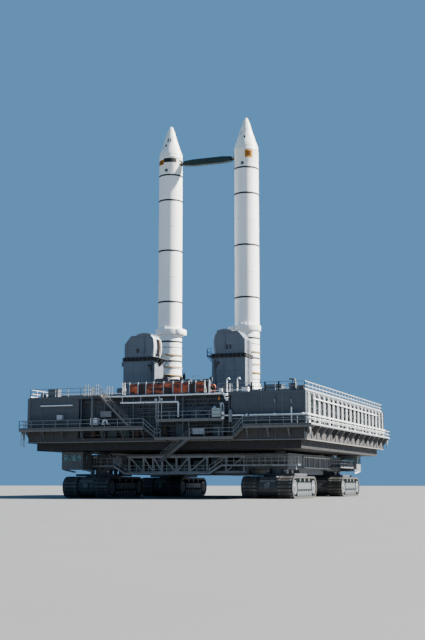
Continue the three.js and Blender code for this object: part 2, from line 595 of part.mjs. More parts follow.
for (const [hand, side] of [['left', -1], ['right', 1]]) {
  const booster = groupAt(model, side * BOOSTER.x, BOOSTER.y, PLATFORM.deck + BOOSTER.lift);
  const put = (name, solid, material = WHITE) => {
    piece(booster, `booster_${hand}_${name}`, side > 0 ? solid.mirror([1, 0, 0]) : solid, material);
  };
  put('aft_skirt', aftSkirt());
  put('nozzle', nozzle(), NOZZLE_BLACK);
  put('aft_segment', aftSegment());
  put('aft_middle_segment', segment(JOINTS.aft, JOINTS.middle));
  put('forward_middle_segment', segment(JOINTS.middle, JOINTS.forward));
  put('forward_segment', segment(JOINTS.forward, NOSE.skirtFoot));
  put('attach_ring', attachRing());
  put('systems_tunnel', systemsTunnel());
  put('forward_skirt', segment(NOSE.skirtFoot, NOSE.frustumFoot), SKIRT_WHITE);
  put('frustum', frustum(), SKIRT_WHITE);
  put('nose_cap', noseCap(), SKIRT_WHITE);
}

// Support beams across each booster's well, each with two hold-down posts

function supportBeam() {
  const beam = box(-3.05 + SEAT, 3.05 - SEAT, 2.12, 2.72, PLATFORM.deck - 1.5, PLATFORM.deck);
  const top = PLATFORM.deck + BOOSTER.lift - SEAT;
  const posts = [-1.05, 1.05].map((x) => box(x - 0.28, x + 0.28, 2.16, 2.6, PLATFORM.deck - 0.1, top));
  return union(beam, posts);
}

for (const [hand, side] of [['left', -1], ['right', 1]]) {
  for (const [end, turn] of [['far', 0], ['near', Math.PI]]) {
    const well = groupAt(model, side * BOOSTER.x, BOOSTER.y, 0, turn);
    piece(well, `support_beam_${hand}_${end}`, supportBeam(), DARK_STEEL);
  }
}

// Tie beam between the forward skirts, with a fork at each end round a pin

const TIE = { station: 451, halfEnd: 0.3, halfMiddle: 0.45, halfY: 0.34, fork: 0.5, taper: 1.5, lug: 0.15 };

function tieBeam() {
  const reach = BOOSTER.x - BOOSTER.radius - SEAT;
  const shoulder = reach - TIE.fork;
  const upper = [[shoulder, TIE.halfEnd], [shoulder - TIE.taper, TIE.halfMiddle]];
  const right = [...upper.map(([x, z]) => [x, -z]).reverse(), ...upper];
  const web = prism('y', [...right, ...right.map(([x, z]) => [-x, -z])], -TIE.halfY, TIE.halfY);
  const ends = BOTH.flatMap((side) => {
    const [x0, x1] = side > 0 ? [shoulder - 0.3, reach] : [-reach, -shoulder + 0.3];
    const pin = axle(side * (reach - 0.22), 0, 0.1, -0.3, 0.3, 12);
    return [box(x0, x1, -0.11, 0.11, -TIE.lug, TIE.lug), pin];
  });
  return union(web, ends);
}

piece(groupAt(model, 0, BOOSTER.y, PLATFORM.deck + BOOSTER.lift + station(TIE.station)), 'nose_tie_beam',
  tieBeam(), BEAM_GREEN);

export default model;
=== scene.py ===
import math

import bmesh
import bpy
from mathutils import Matrix, Vector


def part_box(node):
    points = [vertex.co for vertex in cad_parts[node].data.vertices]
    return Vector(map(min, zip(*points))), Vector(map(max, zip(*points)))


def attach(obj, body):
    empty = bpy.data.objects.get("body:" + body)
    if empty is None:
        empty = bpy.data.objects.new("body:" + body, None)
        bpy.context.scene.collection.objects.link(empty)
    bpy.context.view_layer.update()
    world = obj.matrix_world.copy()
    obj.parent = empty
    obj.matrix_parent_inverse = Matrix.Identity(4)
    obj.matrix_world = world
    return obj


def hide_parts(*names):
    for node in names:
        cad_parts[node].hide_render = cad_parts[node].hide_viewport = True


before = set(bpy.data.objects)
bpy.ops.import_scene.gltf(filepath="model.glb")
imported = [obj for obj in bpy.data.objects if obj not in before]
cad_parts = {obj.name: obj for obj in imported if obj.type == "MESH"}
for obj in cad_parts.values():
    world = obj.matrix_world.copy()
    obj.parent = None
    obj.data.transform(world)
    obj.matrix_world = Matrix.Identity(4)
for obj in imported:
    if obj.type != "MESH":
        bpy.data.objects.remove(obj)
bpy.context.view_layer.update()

# Sizes and places are metres of the full-size machine, and SCALE makes the model from them.

SCALE = 0.5
BOTH = (-1, 1)
HANDS = {"left": -1, "right": 1}
ENDS = {"near": (-1, 0), "far": (1, 180)}  # side in y, and degrees that an end is turned by


def full_box(node):
    """A solid's lowest and highest corners, in full-size metres."""
    low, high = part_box(node)
    return low / SCALE, high / SCALE


HULL_LOW, HULL_HIGH = full_box("platform_hull")
RIB_PROUD = 0.2
HALF_X = HULL_HIGH.x - RIB_PROUD
HALF_Y = -HULL_LOW.y
NEAR = -HALF_Y
DECK = HULL_HIGH.z
SKIRT_TOP = 7.77
WALK_EDGE_X = full_box("walkway_right")[1].x
WALK_EDGE_Y, WALK = full_box("walkway_far")[1].yz
LOW_WALK = 8.3
BOOSTER_X, BOOSTER_Y = 6.36, -6.1
BOOSTER_FOOT = full_box("booster_left_aft_skirt")[0].z
RADIUS = 1.854
TRUCK = 13.7
ENGINE_WELL = (-4.45, -21.9, 4.45, -11.6)
WELLS = [(side * BOOSTER_X - 3.05, -9.7, side * BOOSTER_X + 3.05, 3.1) for side in BOTH] + [ENGINE_WELL]
BAY = (-12.6, 10.2)
BAY_DEPTH = 1.3


# Materials, each made of layers over a base colour

class Finish:
    """One procedural material, with its patterns laid out in the object's own metres."""

    def __init__(self, name, colour, rough=0.55, metal=0.0):
        self.material = bpy.data.materials.new(name)
        self.material.use_nodes = True
        self.tree = self.material.node_tree
        self.shader = self.tree.nodes["Principled BSDF"]
        self.shader.inputs["Metallic"].default_value = metal
        self.shader.inputs["Roughness"].default_value = rough
        self.colour = (*colour, 1)
        self.place = self.node("ShaderNodeTexCoord").outputs["Object"]

    def node(self, kind, **inputs):
        node = self.tree.nodes.new(kind)
        for key, value in inputs.items():
            self.put(node.inputs[key.replace("_", " ")], value)
        return node

    def put(self, socket, value):
        if isinstance(value, bpy.types.NodeSocket):
            self.tree.links.new(value, socket)
        else:
            socket.default_value = value

    def noise(self, scale, low, high, stretch=(1, 1, 1), detail=3.0, top=1.0):
        """Noise that rises from 0 at low to top at high."""
        where = self.node("ShaderNodeMapping", Vector=self.place, Scale=stretch).outputs[0]
        noise = self.node("ShaderNodeTexNoise", Vector=where, Scale=scale, Detail=detail).outputs["Fac"]
        risen = self.node("ShaderNodeMapRange", Value=noise, From_Min=low, From_Max=high, To_Max=top)
        return risen.outputs[0]

    def across(self):
        """Coordinates along an upright wall, whichever way it faces, and up it."""
        parts = self.node("ShaderNodeSeparateXYZ", Vector=self.place).outputs
        along = self.node("ShaderNodeMath")
        self.put(along.inputs[0], parts["X"])
        self.put(along.inputs[1], parts["Y"])
        return self.node("ShaderNodeCombineXYZ", X=along.outputs[0], Y=parts["Z"]).outputs[0]

    def seams(self, width, height, line, where=None):
        """1 on the joints between plates, and 0 between them."""
        brick = self.node("ShaderNodeTexBrick", Vector=where or self.across(), Scale=1.0, Mortar_Size=line,
                          Mortar_Smooth=0.2, Brick_Width=width, Row_Height=height)
        brick.offset = 0.0
        return brick.outputs["Fac"]

    def below(self, height, soft, top=0.85):
        """top below a height in the model's metres, and 0 above it, with a step that is 2 x soft tall."""
        z = self.node("ShaderNodeSeparateXYZ", Vector=self.place).outputs["Z"]
        step = self.node("ShaderNodeMapRange", Value=z, From_Min=height + soft, From_Max=height - soft,
                         To_Max=top)
        return step.outputs[0]

    def layer(self, colour, amount):
        mix = self.tree.nodes.new("ShaderNodeMix")
        mix.data_type = "RGBA"
        for index, value in ((0, amount), (6, self.colour), (7, (*colour, 1))):
            self.put(mix.inputs[index], value)
        self.colour = mix.outputs[2]

    def rougher(self, amount, low, high):
        value = self.node("ShaderNodeMapRange", Value=amount, To_Min=low, To_Max=high).outputs[0]
        self.put(self.shader.inputs["Roughness"], value)

    def bump(self, height, strength, distance):
        last = self.shader.inputs["Normal"]
        inputs = {"Normal": last.links[0].from_socket} if last.is_linked else {}
        bump = self.node("ShaderNodeBump", Height=height, Strength=strength, Distance=distance, **inputs)
        self.put(last, bump.outputs[0])

    def grain(self):
        """The fine unevenness of old paint."""
        self.bump(self.noise(9.0, 0.2, 0.8, detail=4.0), 0.12, 0.01)

    def done(self):
        self.put(self.shader.inputs["Base Color"], self.colour)
        return self.material


STREAK = (3.0, 3.0, 0.18)
DIRT = (0.05, 0.045, 0.04)
RUST = (0.16, 0.065, 0.025)


def weathered(name, colour, rough=0.6, metal=0.0, dirt=DIRT, streak=0.5, rust=0.0, fade=0.25, plates=None,
              lower=(), seam=0.6, shine=0.5):
    """Old paint on steel that fades, runs and rusts; lower has heights, paints below and softness, bands that
    darken the hull's walls towards the foot and paint shade under its walkway and on its skirt.
    """
    finish = Finish(name, colour, rough, metal)
    finish.shader.inputs["Specular IOR Level"].default_value = shine
    finish.layer([min(1.0, c * 1.35 + 0.03) for c in colour], finish.noise(0.35, 0.35, 0.75, top=fade))
    finish.layer(dirt, finish.noise(1.6, 0.52, 0.8, stretch=STREAK, detail=5.0, top=streak))
    if plates:
        joints = finish.seams(*plates, 0.012)
        amount = finish.node("ShaderNodeMapRange", Value=joints, To_Max=seam).outputs[0]
        finish.layer([c * 0.3 for c in colour], amount)
        finish.bump(joints, 0.5, -0.01)
    # Colours laid below given heights; on the hull they darken the foot and paint shade.
    for height, paint, soft in lower:
        finish.layer(paint, finish.below(height, soft))
    if rust:
        finish.layer(RUST, finish.noise(2.3, 0.66, 0.74, stretch=(1, 1, 0.45), detail=6.0, top=rust))
    finish.rougher(finish.noise(4.0, 0.3, 0.7), max(0.0, rough - 0.12), min(1.0, rough + 0.15))
    finish.grain()
    return finish.done()


def guard_paint(name, colour):
    """Orange paint with dark, burnt-looking patches that lie in level bars."""
    finish = Finish(name, colour, 0.65)
    finish.layer((0.58, 0.17, 0.06), finish.noise(1.5, 0.45, 0.65, top=0.6))
    finish.layer((0.09, 0.025, 0.02), finish.noise(1.3, 0.47, 0.57, stretch=(1.2, 1.2, 4.0), top=0.9))
    finish.layer((0.015, 0.012, 0.012),
                 finish.noise(1.1, 0.57, 0.63, stretch=(1.0, 1.0, 3.0), detail=2.0, top=0.9))
    finish.grain()
    return finish.done()


def grating(name, colour):
    """Open bar grating, seen as fine dark gaps."""
    finish = Finish(name, colour, 0.6, 0.3)
    gaps = finish.seams(0.06, 0.06, 0.012, where=finish.place)
    finish.layer([c * 0.35 for c in colour], gaps)
    finish.layer((0.10, 0.07, 0.05), finish.noise(1.2, 0.5, 0.8, detail=5.0, top=0.5))
    finish.bump(gaps, 0.6, 0.01)
    return finish.done()


def booster_paint(name, colour, stain):
    """White paint with pale patches, and stain in runs down it."""
    finish = Finish(name, colour, 0.42)
    finish.layer([c * 0.93 for c in colour], finish.noise(0.5, 0.4, 0.7, top=0.7))
    finish.layer(stain, finish.noise(1.3, 0.55, 0.85, stretch=(4.0, 4.0, 0.12), detail=5.0, top=0.35))
    finish.layer((0.45, 0.45, 0.44), finish.noise(2.4, 0.66, 0.8, stretch=(1, 1, 2.5), detail=6.0, top=0.35))
    finish.rougher(finish.noise(3.0, 0.3, 0.7), 0.32, 0.55)
    finish.bump(finish.noise(14.0, 0.3, 0.7), 0.06, 0.004)
    return finish.done()


def glass(name):
    finish = Finish(name, (0.50, 0.66, 0.60), 0.06)
    finish.layer((0.30, 0.40, 0.37), finish.noise(3.0, 0.4, 0.8, top=0.6))
    finish.shader.inputs["Transmission Weight"].default_value = 0.75
    finish.shader.inputs["IOR"].default_value = 1.45
    finish.rougher(finish.noise(6.0, 0.3, 0.8), 0.04, 0.18)
    return finish.done()


def floor_paint(name):
    finish = Finish(name, (0.17, 0.17, 0.168), 0.9)
    finish.layer((0.155, 0.155, 0.152), finish.noise(0.3, 0.35, 0.7, top=0.5))
    return finish.done()


# Bands on the hull's walls: a height in model metres, a colour laid below it and a softness. The wall is
# darker below 5.9, painted shade darkens it below the walkway, and a near-black painted shadow covers the
# recessed skirt.
HULL_BANDS_AND_PAINTED_SHADE = ((5.9, (0.034, 0.046, 0.054), 0.3), (WALK * SCALE, (0.046, 0.039, 0.035), 0.01),
               (SKIRT_TOP * SCALE, (0.007, 0.007, 0.007), 0.01))
MATERIALS = {
    "case": booster_paint("booster_case_paint", (0.86, 0.865, 0.85), (0.62, 0.60, 0.52)),
    "nose": booster_paint("booster_nose_paint", (0.78, 0.81, 0.76), (0.56, 0.58, 0.50)),
    "guard": guard_paint("guard_orange", (0.42, 0.07, 0.02)),
    "grating": grating("walkway_grating", (0.20, 0.21, 0.22)),
    "glass": glass("cab_glass"),
    "floor": floor_paint("floor_pale"),
    "band": weathered("band_black", (0.004, 0.005, 0.006), 0.8, dirt=(0.02, 0.02, 0.02), streak=0.2,
                      fade=0.1),
    "tan": weathered("ring_tan", (0.22, 0.14, 0.035), 0.7, streak=0.4, fade=0.1),
    "orange": weathered("patch_orange", (0.37, 0.15, 0.002), streak=0.3, fade=0.1, shine=0.2),
    "mark": weathered("patch_brown", (0.08, 0.03, 0.002), streak=0.3, fade=0.1, shine=0.2),
    "nozzle": weathered("nozzle_char", (0.05, 0.047, 0.043), 0.85, streak=0.6),
    "beam": weathered("beam_green", (0.006, 0.022, 0.018), 0.5, streak=0.3, rust=0.2),
    "brass": weathered("pin_brass", (0.48, 0.38, 0.16), 0.45, 0.7),
    "hull": weathered("platform_paint", (0.058, 0.069, 0.080), 0.6, 0.1, streak=0.6, rust=0.4,
                      plates=(1.3, 1.05), lower=HULL_BANDS_AND_PAINTED_SHADE),
    "hull_low": weathered("platform_skirt_paint", (0.09, 0.08, 0.072), 0.65, 0.1, streak=0.6, rust=0.5),
    "panel": weathered("panel_paint", (0.068, 0.082, 0.096), 0.55, 0.1, rust=0.35),
    "deck": weathered("deck_paint", (0.15, 0.15, 0.15), 0.75, 0.1, rust=0.6),
    "mast": weathered("mast_paint", (0.12, 0.14, 0.165), 0.6, 0.1, rust=0.2, plates=(1.25, 0.9), seam=0.25),
    "inside": weathered("mast_inside", (0.12, 0.065, 0.03), 0.8, streak=0.6, rust=0.5),
    "edge": weathered("edge_paint", (0.135, 0.13, 0.125), 0.6, 0.1, streak=0.6, rust=0.5),
    "navy": weathered("rack_paint", (0.05, 0.065, 0.13), 0.6, 0.1, streak=0.4, rust=0.1),
    # Near black: painted shade in the sheets between the platform's ribs, at the back of the carrier's bays
    # and inside the belts, and the black of the deck beacon.
    "gap": weathered("near_black_and_painted_shade", (0.006, 0.008, 0.008), 0.8, dirt=(0.01, 0.01, 0.009), streak=0.3,
                     fade=0.05, shine=0.0),
    # Dark grey: the gallery's own dark paint, and painted shade on the deck's near rail posts.
    "dark_grey_and_shade": weathered("dark_grey_paint_and_painted_shade", (0.018, 0.018, 0.018), 0.7, dirt=(0.03, 0.028, 0.025), streak=0.4,
                      fade=0.1, shine=0.2),
    "tank": weathered("tank_brown", (0.045, 0.028, 0.018), 0.7, rust=0.3),
    "truss": weathered("truss_paint", (0.32, 0.35, 0.37), 0.6, 0.1, rust=0.3),
    "rim": weathered("mast_rim_paint", (0.36, 0.39, 0.42), 0.55, 0.05, streak=0.4, rust=0.2),
    "pale": weathered("pale_steel", (0.42, 0.44, 0.45), 0.5, 0.1, streak=0.4, rust=0.3),
    "white": weathered("white_steel", (0.78, 0.79, 0.78), 0.45, streak=0.3, rust=0.15),
    "grey": weathered("grey_steel", (0.17, 0.185, 0.20), 0.6, 0.1, rust=0.4),
    "dim": weathered("dim_steel", (0.075, 0.085, 0.095), 0.6, 0.1, streak=0.6, rust=0.5),
    "guard_dark": weathered("guard_dark", (0.035, 0.02, 0.02), 0.7, streak=0.6, rust=0.6),
    "cabinet": weathered("cabinet_green", (0.33, 0.40, 0.37), 0.5, streak=0.4),
    # A very dark green for the machines in both bays, darkened as painted shade inside the bays.
    "machine": weathered("machine_green_painted_shade", (0.02, 0.045, 0.05), 0.5, rust=0.3),
    "carrier": weathered("carrier_paint", (0.125, 0.137, 0.145), 0.6, 0.1, streak=0.6, rust=0.5,
                         plates=(1.6, 1.1)),
    "truck": weathered("truck_paint", (0.045, 0.05, 0.055), 0.65, 0.2, dirt=(0.11, 0.095, 0.08), streak=0.8,
                       rust=0.5),
    "shoe": weathered("shoe_steel", (0.055, 0.053, 0.05), 0.6, 0.4, dirt=(0.10, 0.088, 0.075), streak=0.9,
                      fade=0.4),
    "bright": weathered("worn_steel", (0.30, 0.30, 0.30), 0.4, 0.8),
    "lamp": weathered("lamp_amber", (0.60, 0.20, 0.02), 0.3, streak=0.1),
}


# Shapes, collected into one mesh for each piece

SHARP = 32


def prism_faces(count):
    """The faces of a prism whose corners are listed around one end and then around the other."""
    sides = [(i, (i + 1) % count, count + (i + 1) % count, count + i) for i in range(count)]
    return [tuple(range(count)), tuple(range(count, 2 * count))] + sides


class Piece:
    """A piece of the scene, drawn in full-size metres through its own placing matrix."""

    drawn = []

    def __init__(self, name, slot, material, body="root", replaces=()):
        self.name, self.slot, self.material, self.body = name, slot, material, body
        self.replaced = replaces
        self.verts, self.faces = [], []
        self.matrix = Matrix.Identity(4)
        Piece.drawn.append(self)

    def at(self, x=0.0, y=0.0, z=0.0, turn=0.0):
        """Places later shapes here, turned about z by degrees."""
        self.matrix = Matrix.Translation((x, y, z)) @ Matrix.Rotation(math.radians(turn), 4, "Z")
        return self

    def on_wall(self, turn, reach):
        """Places later shapes on a wall, reach from the middle: x along it, y = 0 on it, outside below."""
        self.matrix = Matrix.Rotation(math.radians(turn), 4, "Z") @ Matrix.Translation((0, -reach, 0))
        return self

    def add(self, verts, faces):
        base = len(self.verts)
        self.verts += [tuple(self.matrix @ Vector(v)) for v in verts]
        self.faces += [tuple(base + i for i in face) for face in faces]

    def box(self, x0, x1, y0, y1, z0, z1):
        (x0, x1), (y0, y1) = sorted((x0, x1)), sorted((y0, y1))
        self.prism([(x0, y0), (x1, y0), (x1, y1), (x0, y1)], z0, z1)

    def block(self, x, y, half_x, half_y, z0, z1):
        """A box about a place."""
        self.box(x - half_x, x + half_x, y - half_y, y + half_y, z0, z1)

    def ribs(self, places, half, y0, y1, z0, z1):
        """A box about each x in places."""
        for x in places:
            self.box(x - half, x + half, y0, y1, z0, z1)

    def slats(self, levels, height, x0, x1, y0, y1):
        """A box on each level."""
        for z in levels:
            self.box(x0, x1, y0, y1, z, z + height)

    def prism(self, outline, low, high, axis="z"):
        """An outline pushed along an axis: (x, y) along z, (x, z) along y or (y, z) along x."""
        place = {"z": lambda u, v, w: (u, v, w),
                 "y": lambda u, v, w: (u, w, v),
                 "x": lambda u, v, w: (w, u, v)}[axis]
        count = len(outline)
        verts = [place(u, v, w) for w in sorted((low, high)) for u, v in outline]
        self.add(verts, prism_faces(count))

    def bar(self, start, end, width, depth=None):
        """A straight flat-sided bar; depth is measured upwards."""
        depth = depth or width
        start, end = Vector(start), Vector(end)
        along = (end - start).normalized()
        side = along.cross(Vector((0, 0, 1)))
        side = side.normalized() if side.length > 1e-6 else Vector((1, 0, 0))
        up = side.cross(along)
        across, rise = side * (width / 2), up * (depth / 2)
        corners = [-across - rise, across - rise, across + rise, rise - across]
        self.add([point + corner for point in (start, end) for corner in corners], prism_faces(4))

    def bars(self, points, width, depth=None):
        """Bars from point to point."""
        for start, end in zip(points, points[1:]):
            self.bar(start, end, width, depth)

    def tube(self, points, radius, sides=8, closed=False):
        """A round pipe through points, mitred at its corners."""
        points = [Vector(p) for p in points]
        count = len(points)
        angles = [math.tau * k / sides for k in range(sides)]
        verts = []
        normal = None
        for i, point in enumerate(points):
            before = points[i - 1] if closed or i else point
            after = points[(i + 1) % count] if closed or i < count - 1 else point
            along = (after - before).normalized()
            normal = along.orthogonal() if normal is None else normal - along * normal.dot(along)
            normal.normalize()
            other = along.cross(normal)
            verts += [point + (normal * math.cos(a) + other * math.sin(a)) * radius for a in angles]
        faces = []
        for i in range(count if closed else count - 1):
            a, b = i * sides, ((i + 1) % count) * sides
            faces += [(a + k, a + (k + 1) % sides, b + (k + 1) % sides, b + k) for k in range(sides)]
        if not closed:
            faces += [tuple(range(sides)), tuple(range((count - 1) * sides, count * sides))]
        self.add(verts, faces)

    def level(self, x0, x1, y, z, radius, sides=8):
        """A round pipe along x."""
        self.tube([(x0, y, z), (x1, y, z)], radius, sides)

    def upright(self, x, y, z0, z1, radius, sides=8):
        """A round pipe that stands."""
        self.tube([(x, y, z0), (x, y, z1)], radius, sides)

    def hoop(self, x0, x1, y, low, high, radius):
        """A pipe that rises at x0, crosses to x1 and comes down."""
        self.tube([(x0, y, low), (x0, y, high), (x1, y, high), (x1, y, low)], radius, 6)

    def turned(self, profile, x=0.0, y=0.0, z=0.0, sides=24, axis="z", arc=None):
        """A profile of (radius, height) turned about an axis; arc is a span of degrees from -y towards +x."""
        place = {"z": lambda r, a, h: (x + r * math.sin(a), y - r * math.cos(a), z + h),
                 "y": lambda r, a, h: (x + r * math.sin(a), y + h, z + r * math.cos(a)),
                 "x": lambda r, a, h: (x + h, y + r * math.sin(a), z + r * math.cos(a))}[axis]
        first, last = (math.radians(a) for a in (arc or (0, 360)))
        spokes = sides + 1 if arc else sides
        verts = [place(r, first + (last - first) * k / sides, h) for k in range(spokes) for r, h in profile]
        count = len(profile)
        faces = []
        for k in range(sides):
            a, b = k * count, ((k + 1) % spokes) * count
            faces += [(a + i, a + (i + 1) % count, b + (i + 1) % count, b + i) for i in range(count)]
        if arc:
            faces += [tuple(range(count)), tuple(range((spokes - 1) * count, spokes * count))]
        self.add(verts, faces)

    def disc(self, radius, low, high, x=0.0, y=0.0, z=0.0, sides=16, axis="z"):
        low, high = sorted((low, high))
        self.turned([(0, low), (radius, low), (radius, high), (0, high)], x, y, z, sides, axis)

    def build(self):
        """Makes the mesh and hands it to the frame; a piece without a body is part of the stage."""
        mesh = bpy.data.meshes.new(self.name)
        mesh.from_pydata([tuple(c * SCALE for c in v) for v in self.verts], [], self.faces)
        work = bmesh.new()
        work.from_mesh(mesh)
        bmesh.ops.remove_doubles(work, verts=work.verts, dist=1e-5)
        bmesh.ops.dissolve_degenerate(work, edges=work.edges, dist=1e-6)
        bmesh.ops.recalc_face_normals(work, faces=work.faces)
        work.to_mesh(mesh)
        work.free()
        mesh.shade_smooth()
        mesh.set_sharp_from_angle(angle=math.radians(SHARP))
        mesh.materials.append(MATERIALS[self.material])
        piece = bpy.data.objects.new(self.name, mesh)
        bpy.context.scene.collection.objects.link(piece)
        if self.body is None:
            return
        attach(piece, self.body)
        if self.replaced:
            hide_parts(*self.replaced)


def dress(node, material):
    """Gives a solid that stays in view its finish."""
    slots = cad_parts[node].data.materials
    slots.clear()
    slots.append(MATERIALS[material])


def arc_points(centre_x, centre_z, radius, first, last, count):
    angles = [math.radians(first + (last - first) * i / count) for i in range(count + 1)]
    return [(centre_x + radius * math.cos(a), centre_z + radius * math.sin(a)) for a in angles]


def around(radius, azimuth):
    """x and y at an azimuth in degrees, from -y towards +x."""
    angle = math.radians(azimuth)
    return radius * math.sin(angle), -radius * math.cos(angle)


def spread(first, last, spacing):
    """Evenly spaced values from first to last, about spacing apart."""
    count = max(1, round(abs(last - first) / spacing))
    return [first + (last - first) * i / count for i in range(count + 1)]


# Railings, stairs and ladders

RAIL_HEIGHT, RAIL = 1.1, 0.075


def railing(piece, path, height=RAIL_HEIGHT, spacing=1.9, rail=RAIL):
    """Posts and two rails above a path of floor points."""
    for level in (height, height * 0.52):
        piece.bars([Vector(point) + Vector((0, 0, level)) for point in path], rail)
    for start, end in zip(path, path[1:]):
        start, end = Vector(start), Vector(end)
        for t in spread(0, 1, spacing / (end - start).length):
            foot = start.lerp(end, t)
            piece.bar(foot, foot + Vector((0, 0, height)), rail * 0.95)


def treads(piece, start, end, lane, pitch=0.28):
    """Steps on a flight that rises along x, between two y values."""
    (x0, z0), (x1, z1) = start, end
    for t in spread(0, 1, pitch / abs(z1 - z0)):
        x, z = x0 + (x1 - x0) * t, z0 + (z1 - z0) * t
        piece.box(x - 0.16, x + 0.16, *lane, z + 0.06, z + 0.10)


def flight(piece, foot, top, strings, depth, lane):
    """A stair that rises along x: its strings with rails on them, and the steps in their lane."""
    for y in strings:
        path = [(foot[0], y, foot[1]), (top[0], y, top[1])]
        piece.bar(*path, 0.06, depth)
        railing(piece, path, 1.0, 1.1, 0.05)
    treads(piece, foot, top, lane)


def ladder(piece, x, y, low, high, width=0.46):
    """Two rails with rungs across y."""
    half = Vector((0, width / 2, 0))
    for sign in BOTH:
        piece.bar(Vector((x, y, low)) + half * sign, Vector((x, y, high)) + half * sign, 0.06)
    for z in spread(low + 0.2, high - 0.1, 0.33):
        piece.bar(Vector((x, y, z)) - half, Vector((x, y, z)) + half, 0.045)


# Boosters, drawn about their own axis and above their own foot

CASE_SIDES = 96
FACTORY_JOINTS = (531.5, 691.5, 1011.5, 1331.5, 1577.5, 1697.5)
SEGMENTS = (("forward_segment", 851.5, 531.5), ("forward_middle_segment", 1171.5, 851.5),
            ("aft_middle_segment", 1491.5, 1171.5), ("aft_segment", 1837, 1491.5))
STIFFENERS = (1664, 1739, 1784)
# Lines on the aft segment: station, height and material. The thin black lines just below each tan ring are
# painted shadow under the stiffener rings.
AFT_LINES_AND_RING_SHADOWS = ((1613, 0.07, "band"), (1662, 0.2, "tan"), (1667.5, 0.08, "band"), (1735, 0.18, "tan"),
         (1740, 0.08, "band"), (1786, 0.24, "tan"), (1792.5, 0.08, "band"), (1823, 0.08, "band"))


def station(inches):
    """Height of a booster station above the booster's foot."""
    return (1930 - inches) * 0.0254


def booster_piece(hand, name, material="case", solid=None, slot="booster_white", body="root"):
    """A piece on one booster, which may take the place of one of its solids."""
    replaced = [f"booster_{hand}_{solid}"] if solid else ()
    piece = Piece(f"booster_{hand}_{name}", slot, material, body, replaced)
    return piece.at(HANDS[hand] * BOOSTER_X, BOOSTER_Y, BOOSTER_FOOT)


def case_segment(hand, name, low, high):
    z0, z1 = station(low), station(high)
    profile = [(0, z0), (RADIUS, z0)]
    if name == "aft_segment":
        for z in map(station, reversed(STIFFENERS)):
            profile += [(RADIUS, z - 0.09), (RADIUS + 0.10, z - 0.05),
                        (RADIUS + 0.10, z + 0.05), (RADIUS, z + 0.09)]
    profile += [(RADIUS, z1 - 0.16), (RADIUS + 0.02, z1 - 0.13), (RADIUS + 0.02, z1), (0, z1)]
    booster_piece(hand, f"{name}_skin", solid=name).turned(profile, sides=CASE_SIDES)


NOSE_FOOT, CONE_FOOT, CAP_FOOT, TIP = map(station, (531.5, 395, 275, 200))
CAP_RADIUS, TIP_RADIUS = 0.87, 0.34


def wall_radius(z):
    """The radius of the forward skirt or the frustum at a height."""
    return min(RADIUS, RADIUS + (CAP_RADIUS - RADIUS) * (z - CONE_FOOT) / (CAP_FOOT - CONE_FOOT))


def wall_patch(piece, azimuths, heights, proud):
    """A thin plate bent to a booster's wall."""
    (a0, a1), (z0, z1) = azimuths, heights
    r0, r1 = wall_radius(z0), wall_radius(z1)
    profile = [(r0 - 0.02, z0), (r0 + proud, z0), (r1 + proud, z1), (r1 - 0.02, z1)]
    piece.turned(profile, sides=max(3, int(abs(a1 - a0) / 5)), arc=azimuths)


def nose_skins(hand):
    groove = [(RADIUS, -0.5), (RADIUS + 0.012, -0.48), (RADIUS + 0.012, -0.40), (RADIUS, -0.38), (RADIUS, 0)]
    dome = arc_points(0, TIP - TIP_RADIUS, TIP_RADIUS, 22, 88, 6)
    collar, low, cap = CONE_FOOT + 0.01, CONE_FOOT + 0.9, CAP_FOOT + 0.01
    profiles = {
        "forward_skirt": [(0, NOSE_FOOT), (RADIUS, NOSE_FOOT), *((r, CONE_FOOT + h) for r, h in groove),
                          (0, CONE_FOOT)],
        "frustum": [(0, collar), (RADIUS, collar), (RADIUS, CONE_FOOT + 0.12), (wall_radius(low), low),
                    (CAP_RADIUS + 0.02, CAP_FOOT - 0.1), (CAP_RADIUS + 0.02, CAP_FOOT), (0, CAP_FOOT)],
        "nose_cap": [(0, cap), (CAP_RADIUS, cap), (0.62, CAP_FOOT + 0.9), *dome, (0, TIP)],
    }
    for name, profile in profiles.items():
        booster_piece(hand, f"{name}_skin", "nose", name).turned(profile, sides=CASE_SIDES)


# Marks on the nose: azimuth span from -y towards +x, material, and a span of stations on the skirt or of
# metres above the frustum's foot

SKIRT_MARKS = {
    "left": [((-15, 51), "band", 450, 423), ((-60, -14), "orange", 463, 431), ((-40, -24), "mark", 456, 438),
             ((-8, 7), "dim", 511, 492), ((30, 36), "pale", 530, 470)],
    "right": [((12, 49), "orange", 470, 423), ((22, 40), "mark", 460, 431), ((-8, 7), "dim", 515, 496),
              ((-60, -52), "pale", 530, 480)],
}
CONE_MARKS = {
    "left": [((-18, -7), "band", 1.3, 1.7), ((-9, 4), "dim", 2.15, 2.75), ((16, 26), "dim", 2.15, 2.75),
             ((-32, -26), "pale", 0.85, 1.3)],
    "right": [((3, 14), "band", 1.33, 1.72), ((-2, 30), "pale", 0.3, 0.4), ((-36, -24), "pale", 2.0, 2.6)],
}


def nose_marks(hand):
    kinds = sorted({kind for _, kind, *_ in SKIRT_MARKS[hand] + CONE_MARKS[hand]})
    pieces = {kind: booster_piece(hand, f"nose_marks_{kind}", kind) for kind in kinds}
    for azimuths, kind, low, high in SKIRT_MARKS[hand]:
        wall_patch(pieces[kind], azimuths, (station(low), station(high)), 0.02 if kind == "mark" else 0.012)
    for azimuths, kind, low, high in CONE_MARKS[hand]:
        wall_patch(pieces[kind], azimuths, (CONE_FOOT + low, CONE_FOOT + high), 0.03)


